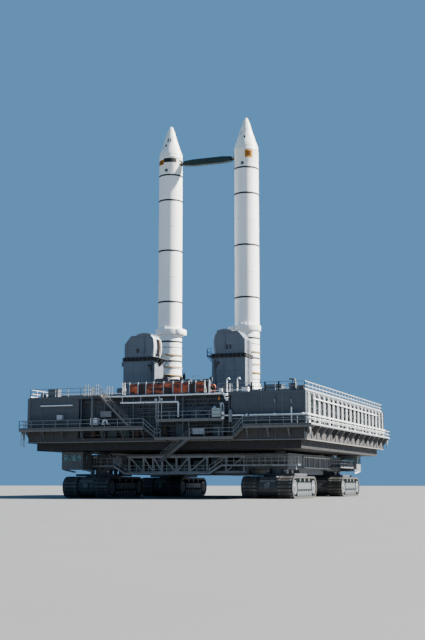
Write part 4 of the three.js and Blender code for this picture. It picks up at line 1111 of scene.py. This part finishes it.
def deck_guard():
    posts = deck_piece("guard_posts", "guard_orange", "pale", GUARD_Y, ["deck_guard"])
    posts.ribs(GUARD_POSTS, 0.06, -0.12, 0.02, 0.01, 1.72)
    for x in GUARD_POSTS:
        posts.bar((x, 0, 1.2), (x, 0.7, 0.03), 0.08)
    posts.bar((GUARD_POSTS[0], -0.05, 1.62), (GUARD_POSTS[-1], -0.05, 1.62), 0.05)
    sheets = {"guard": deck_piece("guard_panels", "guard_orange", "guard", GUARD_Y),
              "guard_dark": deck_piece("guard_dark_panels", "guard_orange", "guard_dark", GUARD_Y)}
    for left, right, gap in zip(GUARD_POSTS, GUARD_POSTS[1:], GUARD_GAPS):
        x0, x1 = left + 0.08, right - 0.08
        for material, z0, z1 in GUARD_SHEETS[gap]:
            sheet = sheets[material]
            sheet.box(x0, x1, -0.03, 0.03, z0, z1)
            sheet.slats((z0, (z0 + z1) / 2 - 0.03, z1 - 0.06), 0.06, x0, x1, -0.08, -0.02)
            sheet.ribs((x0 + 0.03, (x0 + x1) / 2, x1 - 0.03), 0.03, -0.08, -0.02, z0, z1)
    dark = deck_piece("guard_machines", "truck_steel", "truck", NEAR + 1.85)
    for x0, x1, top in GUARD_MACHINES:
        dark.box(x0, x1, -0.35, 0.35, 0.15, top)
        dark.box(x0 - 0.04, x1 + 0.04, -0.4, 0.4, 0, 0.15)
        dark.box(x0 + 0.1, x1 - 0.1, -0.3, 0.3, top, top + 0.1)
    for x0, x1, low, high in ((-0.5, 2.1, 2.3, 2.48), (4.02, 5.25, 0, 2.5), (6.68, 6.72, 0, 2.5)):
        dark.hoop(x0, x1, 0, low, high, 0.045)
    dark.box(6.5, 6.85, -0.15, 0.15, 1.7, 2.25)
    beacon = deck_piece("guard_beacon", "truck_steel", "gap", NEAR + 1.85)
    beacon.upright(2.68, 0, 0, 2.95, 0.09)
    beacon.turned([(0, 0), (0.18, 0.04), (0.2, 0.5), (0.12, 0.82), (0, 0.84)], 2.68, 0, 2.0, 12)


def deck_rails():
    x, y = HALF_X - 0.12, HALF_Y - 0.12
    near = deck_piece("rails_near", "walkway_paint", "grey", -y)
    for low, high in ((-x, -10.4), (8.3, x)):
        railing(near, [(low, 0, 0), (high, 0, 0)], 1.15)
    for height, places in ((1.3, (-12.0, -11.0, -10.6, -8.4, -8.0, -7.6)),
                           (1.65, (-11.7, -11.3, -10.1, -9.7))):
        for place in places:
            near.bar((place, 0.12, 0), (place, 0.12, height), 0.08)
    # Posts in dark grey: painted shade, which also darkens their sunlit sides.
    posts = deck_piece("rail_posts", "walkway_paint", "dark_grey_and_shade", -y)
    posts.ribs((13.1, 15.0, 16.9), 0.11, -0.07, -0.03, 0, 1.2)
    posts.ribs((13.1, 15.0, 16.9), 0.16, -0.1, 0.1, 0, 0.05)
    for wall, start, end in far_sides(x, y, 0):
        rails = deck_piece(f"rails_{wall}", "walkway_paint", "pale")
        railing(rails, [start, end], 1.15)
        rails.at(0, 0, DECK + 0.1).bar(start, end, 0.03, 0.2)


def deck_floor():
    """Rims around the wells, plate joints and hatches."""
    rims = deck_piece("well_rims", "platform_paint", "hull_low")
    for well in WELLS:
        x0, y0, x1, y1 = well
        spans = [(x0, x1, y0 - 0.2, y0), (x0, x1, y1, y1 + 0.2)]
        if well != ENGINE_WELL:
            spans += [(x0 - 0.2, x0, y0 - 0.2, y1 + 0.2), (x1, x1 + 0.2, y0 - 0.2, y1 + 0.2)]
        for span in spans:
            rims.box(*span, 0, 0.22)
    seams = deck_piece("plates", "platform_paint", "deck")
    lines = spread(-19.6, 19.6, 3.3)
    seams.ribs(lines, 0.04, 3.6, HALF_Y - 0.4, -0.01, 0.02)
    seams.ribs([x for x in lines if abs(x) > 9.9], 0.04, NEAR + 0.6, 3.6, -0.01, 0.02)
    for y in spread(4.2, HALF_Y - 0.6, 3.3):
        seams.box(-HALF_X + 0.4, HALF_X - 0.4, y - 0.04, y + 0.04, -0.01, 0.02)
    for x, y in ((-16, -18), (-16, 10), (16, 18), (-4, 19), (15.5, 2), (-14.5, -3)):
        seams.block(x, y, 0.7, 0.7, 0, 0.16)
        seams.block(x, y, 0.55, 0.55, 0.16, 0.22)
        seams.hoop(x - 0.2, x + 0.2, y, 0.22, 0.32, 0.025)


WATER_MAIN = 19.2
# Boxes on the deck: x, y, length, depth and height
DECK_BOXES = ((-3.9, -22.9, 1.2, 0.6, 1.5), (4.5, -22.9, 1.6, 0.6, 1.3), (-1.5, -23.0, 0.8, 0.5, 1.75),
              (9.0, -22.6, 0.9, 0.8, 1.2), (15.0, -20.0, 2.4, 1.4, 1.1), (18.6, -23.4, 0.9, 0.7, 0.9),
              (-17.5, -22.6, 1.6, 1.0, 1.2), (-12.8, -9.0, 1.2, 2.4, 1.4), (12.6, -7.0, 1.2, 3.0, 1.3),
              (-8.0, 8.0, 3.0, 1.5, 1.2), (7.0, 14.0, 2.0, 2.0, 1.0), (0.0, -6.0, 1.8, 1.4, 1.2))


def deck_fittings():
    """Water pipes with their outlets, boxes, and rails around the booster wells."""
    water = deck_piece("water_pipes", "walkway_paint", "grey")
    outlet = [(0.22, 0), (0.3, 0.6), (0.5, 1.5), (0.34, 1.75), (0, 1.8)]
    for side in BOTH:
        main = side * WATER_MAIN
        water.tube([(main, NEAR + 1.2, 0.35), (main, 20, 0.35)], 0.28, 12)
        for y in spread(-22, 19, 3.4):
            water.block(main, y, 0.4, 0.1, 0, 0.36)
        for y, reach in ((-20.8, 5.2), (-16.0, 10.2), (-9.5, 10.2), (1.0, 10.2)):
            x = side * reach
            water.level(main, x, y, 0.4, 0.2, 10)
            water.turned(outlet, x, y, 0, 16)
            water.bar((x, y, 1.5), (x - side * 0.75, y, 1.15), 0.32)
    for x, y in ((-2.4, -10.6), (0.4, -10.2), (2.6, -10.9)):
        water.turned([(0.4, 0), (0.55, 0.7), (0.62, 1.5), (0.4, 1.95), (0, 2.05)], x, y, 0, 16)
    water.level(-3.6, 3.6, -10.6, 0.5, 0.3, 12)
    boxes = deck_piece("boxes", "platform_paint", "panel")
    for x, y, wide, deep, tall in DECK_BOXES:
        half, reach = wide / 2, deep / 2
        boxes.block(x, y, half, reach, 0, tall)
        boxes.block(x, y, half + 0.05, reach + 0.05, tall, tall + 0.06)
        boxes.box(x - half + 0.08, x + half - 0.08, y - reach - 0.03, y - reach, 0.12, tall - 0.1)
    rails = deck_piece("well_rails", "walkway_paint", "grey")
    for side in BOTH:
        middle, reach = side * BOOSTER_X, side * 3.4
        railing(rails, [(middle - 3.4, -10.1, 0), (middle + 3.4, -10.1, 0)], spacing=1.1)
        railing(rails, [(middle + reach, -10.1, 0), (middle + reach, 3.5, 0), (middle - reach, 3.5, 0)])


def deck_gear():
    """Vents, hose reel and davit at the near edge."""
    vents = deck_piece("vents", "walkway_paint", "white", NEAR + 0.5)
    hook = ((0, 0), (0, 1.6), (0.08, 1.85), (0.3, 1.9), (0.42, 1.7))
    for x in (9.45, 10.95):
        vents.tube([(x + out, 0, rise) for out, rise in hook], 0.085, 10)
        vents.disc(0.17, 0, 0.12, x, sides=12)
    vents.disc(0.25, 0, 0.5, 8.6, -0.05, sides=14)
    vents.box(11.6, 12.5, -0.1, 0.4, 0, 0.6)
    reel = deck_piece("hose_reel", "guard_orange", "guard", NEAR)
    ring = arc_points(7.55, 0.72, 0.33, 0, 345, 23)
    reel.tube([(x, 0.22, z) for x, z in ring], 0.1, 10, closed=True)
    for foot, top in ((7.25, 7.5), (7.85, 7.6)):
        reel.bar((foot, 0.3, 0), (top, 0.3, 0.5), 0.08)
    davit = deck_piece("davit", "truck_steel", "truck", NEAR)
    davit.box(7.25, 7.85, 0.3, 0.36, 0.4, 1.04)
    davit.disc(0.08, -0.12, 0.3, 7.55, 0, 0.72, 10, "y")
    davit.tube([(19.1, 0.35, 0), (19.1, 0.35, 1.25), (19.0, 0.35, 1.45), (18.3, 0.35, 1.5)], 0.11, 10)
    davit.tube([(18.75, 0.35, 1.45), (18.7, 0.35, 0.9), (18.95, 0.35, 0.7), (19.1, 0.35, 0.9)], 0.07)
    davit.box(19.6, 20.3, 0.2, 0.7, 0, 0.55)


def support_details():
    """Plates, posts' feet and bolts on the beams that cross the booster wells."""
    for hand, side in HANDS.items():
        for end, (sign, _) in ENDS.items():
            piece = Piece(f"support_beam_{hand}_{end}_plates", "truck_steel", "truck")
            piece.at(side * BOOSTER_X, BOOSTER_Y + sign * 2.42, DECK)
            piece.ribs(spread(-2.9, 2.9, 0.65), 0.03, -0.36, 0.36, -1.48, -0.02)
            piece.block(0, 0, 3.04, 0.4, -0.06, 0.02)
            for x in (-1.05, 1.05):
                piece.block(x, 0, 0.45, 0.36, 0, 0.12)
                for way in BOTH:
                    gusset = [(x + way * 0.27, 0), (x + way * 0.62, 0), (x + way * 0.27, 0.7)]
                    piece.prism(gusset, -0.05, 0.05, "y")
                    piece.disc(0.09, 0, 0.26, x + way * 0.34, sign * 0.24, 0.1, 8)


# Carrier. Its walls are drawn like the platform's.

CHASSIS_HALF = 15.3
WALK_LOW, WALK_HIGH = 3.55, 4.65
RAIL_LINE = -1.04
FLOODLIGHTS = (-15.0, -11.8, 11.2, 14.8)


def carrier_piece(wall, name, slot, material):
    return Piece(f"carrier_{wall}_{name}", slot, material).on_wall(WALLS[wall][0], CHASSIS_HALF)


def carrier_walks(end):
    """Rails, steps and brackets of one end's walkway."""
    rails = carrier_piece(end, "rails", "carrier_paint", "truss")
    line = [(-10.9, WALK_HIGH), (-9.1, WALK_LOW), (4.1, WALK_LOW), (5.9, WALK_HIGH)]
    path = [(-14.1, WALK_HIGH), *line, (17.1, WALK_HIGH)]
    railing(rails, [(x, RAIL_LINE, z) for x, z in path], 1.05, 0.95, 0.07)
    path = [(-17.2, WALK_HIGH), *line, (17.2, WALK_HIGH)]
    rails.bars([(x, RAIL_LINE - 0.05, z - 0.08) for x, z in path], 0.05, 0.24)
    for spacing, path in ((1.2, [(-17.14, -0.9), (-17.14, 7.2), (-15.4, 7.2)]),
                          (0.9, [(17.14, RAIL_LINE), (17.14, -0.05), (15.4, -0.05)])):
        railing(rails, [(x, y, WALK_HIGH) for x, y in path], 1.05, spacing, 0.07)
    steps = carrier_piece(end, "steps", "carrier_paint", "grey")
    for foot, top in ((-9.0, -10.9), (4.0, 5.9)):
        treads(steps, (foot, WALK_LOW), (top, WALK_HIGH), (RAIL_LINE + 0.02, -0.1))
    for x in (-16.4, -13.2, 7.4, 10.4, 13.4, 16.6):
        steps.prism([(0, 4.52), (-1.0, 4.52), (-1.0, 4.42), (0, 3.9)], x - 0.05, x + 0.05, "x")


def carrier_end(end):
    """Panels, machines, pipes, drum and lamps on one end; the far end is the near one turned half round."""
    face = carrier_piece(end, "face_panels", "carrier_paint", "carrier")
    for low, high in ((-15.2, -9.3), (9.3, 15.2)):
        face.ribs(spread(low, high, 1.18), 0.05, -0.06, 0.02, 4.7, 6.24)
        face.box(low, high, -0.08, 0.02, 6.12, 6.25)
        for x in (low + 1.3, low + 3.6):
            face.box(x - 0.45, x + 0.45, -0.05, 0, 4.75, 6.0)
            face.slats(spread(4.85, 5.9, 0.13), 0.04, x - 0.4, x + 0.4, -0.09, -0.03)
    face.ribs(spread(-15.0, 15.0, 2.5), 0.06, 0.02, CHASSIS_HALF * 1.5, 4.0, 4.12)
    # A near-black back wall: painted shade inside the bay.
    back = carrier_piece(end, "bay_back", "carrier_paint", "gap")
    back.box(-9.16, 9.16, 1.06, 1.12, 3.62, 5.96)
    back.ribs(spread(-8.6, 8.6, 1.15), 0.05, 0.94, 1.08, 3.62, 5.96)
    # Machines in a very dark green that paints the shade inside the bay.
    bay = carrier_piece(end, "bay_machines", "carrier_paint", "machine")
    for x0, x1, top in ((-8.3, -6.9, 5.4), (-4.7, -3.9, 5.7), (-3.2, -1.6, 5.0), (-0.9, 0.3, 5.6),
                        (1.1, 3.0, 5.3), (3.8, 5.9, 5.6), (6.6, 8.6, 5.0)):
        bay.box(x0, x1, 0.45, 1.08, 3.7, top)
        bay.ribs(spread(x0 + 0.1, x1 - 0.1, 0.3), 0.03, 0.40, 0.46, 3.8, top - 0.1)
    pipes = carrier_piece(end, "pipes", "walkway_paint", "pale")
    for z in (5.75, 3.75):
        pipes.level(-9.0, 9.0, 0.7, z, 0.05)
    for x in (-14.2, -13.85):
        pipes.disc(0.13, -0.18, 0.18, x, -0.8, 5.85, 10)
        pipes.upright(x, -0.8, 4.7, 5.7, 0.04, 6)
    pipes.level(9.4, 15.2, -0.2, 6.0, 0.06)
    pipes.tube([(9.4, -0.18, 5.2), (11.5, -0.18, 5.2), (11.5, -0.18, 4.7)], 0.05)
    drum = carrier_piece(end, "cable_drum", "carrier_paint", "grey")
    reel = [(0, -0.42), (0.66, -0.42), (0.66, -0.36), (0.5, -0.34),
            (0.5, 0.34), (0.66, 0.36), (0.66, 0.42), (0, 0.42)]
    drum.turned(reel, -10.2, -0.63, 5.34, 28, "y")
    for x, z in arc_points(-10.2, 5.34, 0.6, 0, 315, 7):
        drum.bar((-10.2, -1.07, 5.34), (x, -1.07, z), 0.05)
    drum.box(-10.75, -9.65, -0.9, -0.3, 4.62, 4.75)
    lamps = carrier_piece(end, "floodlights", "glass", "glass")
    hoods = carrier_piece(end, "floodlight_hoods", "truck_steel", "truck")
    lens = [(0, -0.02), (0.17, 0.0), (0.2, 0.08), (0.2, 0.14), (0, 0.14)]
    hood = [(0.21, 0.02), (0.21, 0.3), (0.08, 0.36), (0, 0.36), (0, 0.3), (0.18, 0.28), (0.18, 0.02)]
    for x in FLOODLIGHTS:
        lamps.turned(lens, x, -0.35, 6.05, 14, "y")
        hoods.turned(hood, x, -0.33, 6.05, 14, "y")


def carrier_sides():
    for hand in ("right", "left"):
        panels = carrier_piece(hand, "side_panels", "carrier_paint", "carrier")
        panels.ribs(spread(-15.0, 15.0, 1.5), 0.05, -0.07, 0.02, 4.12, 6.24)
        for low, high in ((6.1, 6.25), (4.1, 4.22)):
            panels.box(-CHASSIS_HALF, CHASSIS_HALF, -0.09, 0.02, low, high)
        for x in (-4.5, -1.5, 1.5, 4.5):
            panels.slats(spread(4.5, 5.85, 0.15), 0.05, x - 0.6, x + 0.6, -0.12, 0)
        pipes = carrier_piece(hand, "side_pipes", "walkway_paint", "pale")
        for z, radius in ((5.9, 0.09), (4.35, 0.07)):
            pipes.level(-7.5, 7.5, -0.2, z, radius)


# Trucks and the gear over them, drawn about each truck's guide post

WHEEL_Y, WHEEL_Z = 4.725, 1.525
BELT_FACE = 3.54
SHOES, SHOE_OUT = 57, 1.5
# Wheels: radius and distance out of the belt's face, sides, places along the belt, height
WHEELS = (
    (((0, 0), (0.98, 0), (0.98, 0.06), (0.86, 0.09), (0.74, 0.05), (0.46, 0.05), (0.38, 0.12), (0, 0.12)), 28,
     (-WHEEL_Y, WHEEL_Y), WHEEL_Z),
    (((0, 0), (0.4, 0), (0.4, 0.08), (0.16, 0.08), (0.12, 0.12), (0, 0.12)), 18,
     [-3.2 + 0.915 * k for k in range(8)], 0.7),
    (((0, 0), (0.25, 0), (0.25, 0.09), (0, 0.09)), 14, (-2.2, 0, 2.2), 2.55),
)


def corner_piece(end, hand, name, slot, material, prefix="carrier", body="root"):
    piece = Piece(f"{prefix}_{end}_{hand}_{name}", slot, material, body)
    return piece.at(HANDS[hand] * TRUCK, ENDS[end][0] * TRUCK)


def corner_gear(end, hand):
    jacks = corner_piece(end, hand, "jacks", "truck_steel", "bright")
    for x in (-1.28, 1.28):
        for y in (-1.28, 1.28):
            jacks.disc(0.2, 3.425, 3.9, x, y)
            jacks.disc(0.34, 3.72, 3.86, x, y)
    jacks.disc(0.74, 6.27, 6.33, sides=24)
    ribs = corner_piece(end, hand, "post_ribs", "carrier_paint", "grey")
    for azimuth in range(0, 360, 45):
        ribs.bar((*around(0.68, azimuth), 6.6), (*around(1.0, azimuth), 6.28), 0.06)


def shoe_places():
    """For each shoe around a belt, its y on the wheels' level and its outward direction in y and z."""
    flat, half = 2 * WHEEL_Y, 2 * WHEEL_Y + math.pi * WHEEL_Z
    for k in range(SHOES):
        below, run = divmod((k + 0.5) * 2 * half / SHOES, half)
        way = -1 if below else 1
        angle = max(0, run - flat) / WHEEL_Z
        yield way * max(WHEEL_Y - run, -WHEEL_Y), -way * math.sin(angle), way * math.cos(angle)


def truck_details(end, hand):
    def truck_piece(name, slot, material):
        return corner_piece(end, hand, name, slot, material, "truck", f"truck_{end}_{hand}")

    # A near-black plate inside each belt's loop: painted shade behind the wheels.
    belt_shade = truck_piece("belt_recesses", "truck_steel", "gap")
    wheels = truck_piece("wheels", "truck_steel", "dim")
    bend = arc_points(WHEEL_Y, WHEEL_Z, 1.22, -90, 90, 12)
    for side in BOTH:
        face = side * BELT_FACE
        belt_shade.prism(bend + [(-y, 2 * WHEEL_Z - z) for y, z in bend], face, face + side * 0.04, "x")
        for profile, sides, places, z in WHEELS:
            for y in places:
                wheels.turned([(radius, face + side * out) for radius, out in profile], 0, y, z, sides, "x")
        wheels.box(face + side * 0.01, face + side * 0.06, -3.4, 3.4, 1.25, 2.15)
        for y in spread(-3.2, 3.2, 0.8):
            for z in (2.0, 1.4):
                wheels.disc(0.06, face + side * 0.04, face + side * 0.1, 0, y, z, 8, "x")
    links = truck_piece("belt_links", "belt_steel", "grey")
    for y, out_y, out_z in shoe_places():
        centre = Vector((0, y + out_y * SHOE_OUT, WHEEL_Z + out_z * SHOE_OUT))
        along = Vector((0, out_z, -out_y)) * 0.1
        for x in (-3.28, -1.75, 1.75, 3.28):
            lug = centre + Vector((x, 0, 0))
            links.bar(lug - along, lug + along, 0.11, 0.08)
    gear = truck_piece("gear_cases", "truck_steel", "dim")
    for sign in BOTH:
        gear.box(-1.15, 1.15, sign * 5.28, sign * 5.75, 0.95, 2.55)
        gear.disc(0.42, sign * 5.75, sign * 6.08, 0, 0, 1.75, 16, "y")
        gear.ribs((-0.95, 0.95), 0.12, sign * 3.2, sign * 5.0, 2.88, 3.05)
    gear.box(-1.0, 1.0, -2.9, 2.9, 3.40, 3.415)


# Driving cabs

CAB_X, CAB_Y = (-17.7, -14.3), (-19.6, -16.7)
DOOR_TRIM = ((-18.8, -18.7, 5.35, 6.15), (-18.2, -18.1, 5.35, 6.15), (-18.8, -18.1, 5.33, 5.42),
             (-18.8, -18.1, 6.08, 6.17), (-18.85, -18.1, 4.55, 4.62), (-18.85, -18.1, 5.2, 5.27))


def cab_piece(end, name, slot, material, body="root"):
    return Piece(f"cab_{end}_{name}", slot, material, body).at(turn=ENDS[end][1])


def cab_details(end):
    (x0, x1), (y0, y1) = CAB_X, CAB_Y
    panes = cab_piece(end, "glass", "glass", "glass")
    for y in (y0 + 0.06, y1 - 0.06):
        panes.box(x0 + 0.28, x1 - 0.28, y - 0.012, y + 0.012, 5.23, 6.22)
    panes.box(x0 + 0.048, x0 + 0.072, y0 + 0.28, y1 - 0.28, 5.23, 6.22)
    frames = cab_piece(end, "frames", "carrier_paint", "carrier")
    middle = (x0 + x1) / 2
    for outside, inside in ((y0 - 0.03, y0 + 0.02), (y1 + 0.03, y1 - 0.02)):
        frames.ribs((x0 + 0.27, middle - 0.6, middle + 0.6, x1 - 0.27), 0.05, outside, inside, 5.25, 6.17)
        frames.slats((5.17, 6.17), 0.08, x0 + 0.22, x1 - 0.22, outside, inside)
    for y in (y0 + 0.27, (y0 + y1) / 2, y1 - 0.27):
        frames.box(x0 - 0.03, x0 + 0.02, y - 0.05, y + 0.05, 5.2, 6.25)
    frames.box(x0 - 0.12, x1 + 0.02, y0 - 0.12, y1 + 0.12, 6.5, 6.58)
    frames.box(x0 + 0.8, x1 - 0.9, y0 + 0.7, y1 - 0.7, 6.58, 6.8)
    frames.box(x0 - 0.02, x1 + 0.02, y0 - 0.03, y1 + 0.03, 4.35, 4.45)
    fit = cab_piece(end, "console", "truck_steel", "truck")
    desk = ((0.2, 4.48), (0.75, 4.48), (0.75, 5.1), (0.35, 5.25), (0.2, 5.25))
    fit.prism([(y0 + y, z) for y, z in desk], x0 + 0.6, x1 - 0.6, "x")
    fit.disc(0.07, 4.48, 4.95, -16.0, y0 + 1.35, sides=10)
    fit.box(-16.28, -15.72, y0 + 1.1, y0 + 1.65, 4.93, 5.05)
    fit.box(-16.28, -15.72, y0 + 1.6, y0 + 1.72, 5.0, 5.65)
    for x in (-16.7, -15.3):
        fit.bar((x, y0 - 0.05, 5.28), (x + 0.3, y0 - 0.05, 5.85), 0.03)
        fit.bar((x + 0.12, y0 - 0.05, 5.62), (x + 0.5, y0 - 0.05, 6.1), 0.025)
    shelf = cab_piece(end, "shelf_rails", "carrier_paint", "pale")
    for x in (x0 + 0.1, x1 - 0.1):
        shelf.bar((x, y0 + 0.2, 4.1), (x, -15.5, 3.7), 0.16, 0.22)
    for y in (y0 + 0.6, y1 - 0.3):
        shelf.bar((x0 + 0.1, y, 4.24), (x1 - 0.1, y, 4.24), 0.14, 0.18)
    pane = cab_piece(end, "door_glass", "glass", "glass", f"cab_{end}_door")
    pane.box(x1 + 0.035, x1 + 0.065, -18.77, -18.13, 5.38, 6.12)
    door = cab_piece(end, "door_trim", "carrier_paint", "carrier", f"cab_{end}_door")
    for span in DOOR_TRIM:
        door.box(x1 + 0.07, x1 + 0.10, *span)
    handle = [(x1 + 0.08, 5.1), (x1 + 0.15, 5.1), (x1 + 0.15, 4.85), (x1 + 0.08, 4.85)]
    door.tube([(x, -18.78, z) for x, z in handle], 0.02, 6)


def make_platform():
    platform_walls()
    near_pipes()
    near_boxes()
    bay_fittings()
    walkway_rails()
    walkway_stairs()
    far_walkways()
    deck_guard()
    deck_rails()
    deck_floor()
    deck_fittings()
    deck_gear()
    support_details()


def make_carrier():
    for end in ENDS:
        carrier_walks(end)
        carrier_end(end)
        cab_details(end)
        for hand in HANDS:
            truck_details(end, hand)
    carrier_sides()
    for end in ENDS:
        for hand in HANDS:
            corner_gear(end, hand)


# Camera, floor and light

CAMERA_PLACE = (59.7, -164.2, 2.0)
CAMERA_TURN, CAMERA_TILT = 20.45, 8.44
FOCAL_PIXELS, IMAGE_HEIGHT, SENSOR = 1104, 640, 36
# Lamps: name, strength, size in degrees, colour, height and turn in degrees
LAMPS = (("key", 24.0, 3, (1.0, 0.96, 0.90), 34, 109), ("fill", 0.1, 60, (0.85, 0.92, 1.0), 40, -20))


def make_camera():
    camera = bpy.data.cameras.new("camera")
    camera.lens = FOCAL_PIXELS / IMAGE_HEIGHT * SENSOR
    camera.sensor_width = SENSOR
    camera.clip_end = 2000
    holder = bpy.data.objects.new("camera", camera)
    holder.location = Vector(CAMERA_PLACE) * SCALE
    holder.rotation_euler = (math.radians(90 + CAMERA_TILT), 0, math.radians(CAMERA_TURN))
    bpy.context.scene.collection.objects.link(holder)
    bpy.context.scene.camera = holder


def make_stage():
    Piece("floor", None, "floor", body=None).box(-900, 900, -900, 900, -0.4, -0.02)
    world = bpy.data.worlds.new("studio")
    world.use_nodes = True
    background = world.node_tree.nodes["Background"]
    background.inputs["Color"].default_value = (0.20, 0.52, 1.0, 1)
    background.inputs["Strength"].default_value = 0.55
    bpy.context.scene.world = world
    for name, strength, size, colour, height, turn in LAMPS:
        lamp = bpy.data.lights.new(name, "SUN")
        lamp.energy = strength
        lamp.angle = math.radians(size)
        lamp.color = colour
        holder = bpy.data.objects.new(name, lamp)
        holder.rotation_euler = (math.radians(90 - height), 0, math.radians(turn))
        bpy.context.scene.collection.objects.link(holder)


make_camera()
make_stage()
make_boosters()
make_masts()
make_platform()
make_carrier()
for piece in Piece.drawn:
    piece.build()

DRESSED = {"platform_hull": "hull", "deck_guard": "guard", "carrier_chassis": "carrier"}
DRESSED |= {f"walkway_{wall}": "grating" for wall in WALLS}
for end in ENDS:
    DRESSED |= {f"carrier_truss_{end}": "truss", f"cab_{end}_shell": "carrier", f"cab_{end}_door": "carrier"}
    for hand in HANDS:
        DRESSED |= {f"support_beam_{hand}_{end}": "truck", f"truck_{end}_{hand}_frame": "truck",
                    f"truck_{end}_{hand}_inner_belt": "shoe", f"truck_{end}_{hand}_outer_belt": "shoe"}
for hand in HANDS:
    DRESSED |= {f"mast_{hand}_housing": "mast", f"mast_{hand}_bonnet": "mast",
                f"mast_{hand}_carrier": "inside", f"mast_{hand}_gallery": "dark_grey_and_shade"}
for node, material in DRESSED.items():
    dress(node, material)
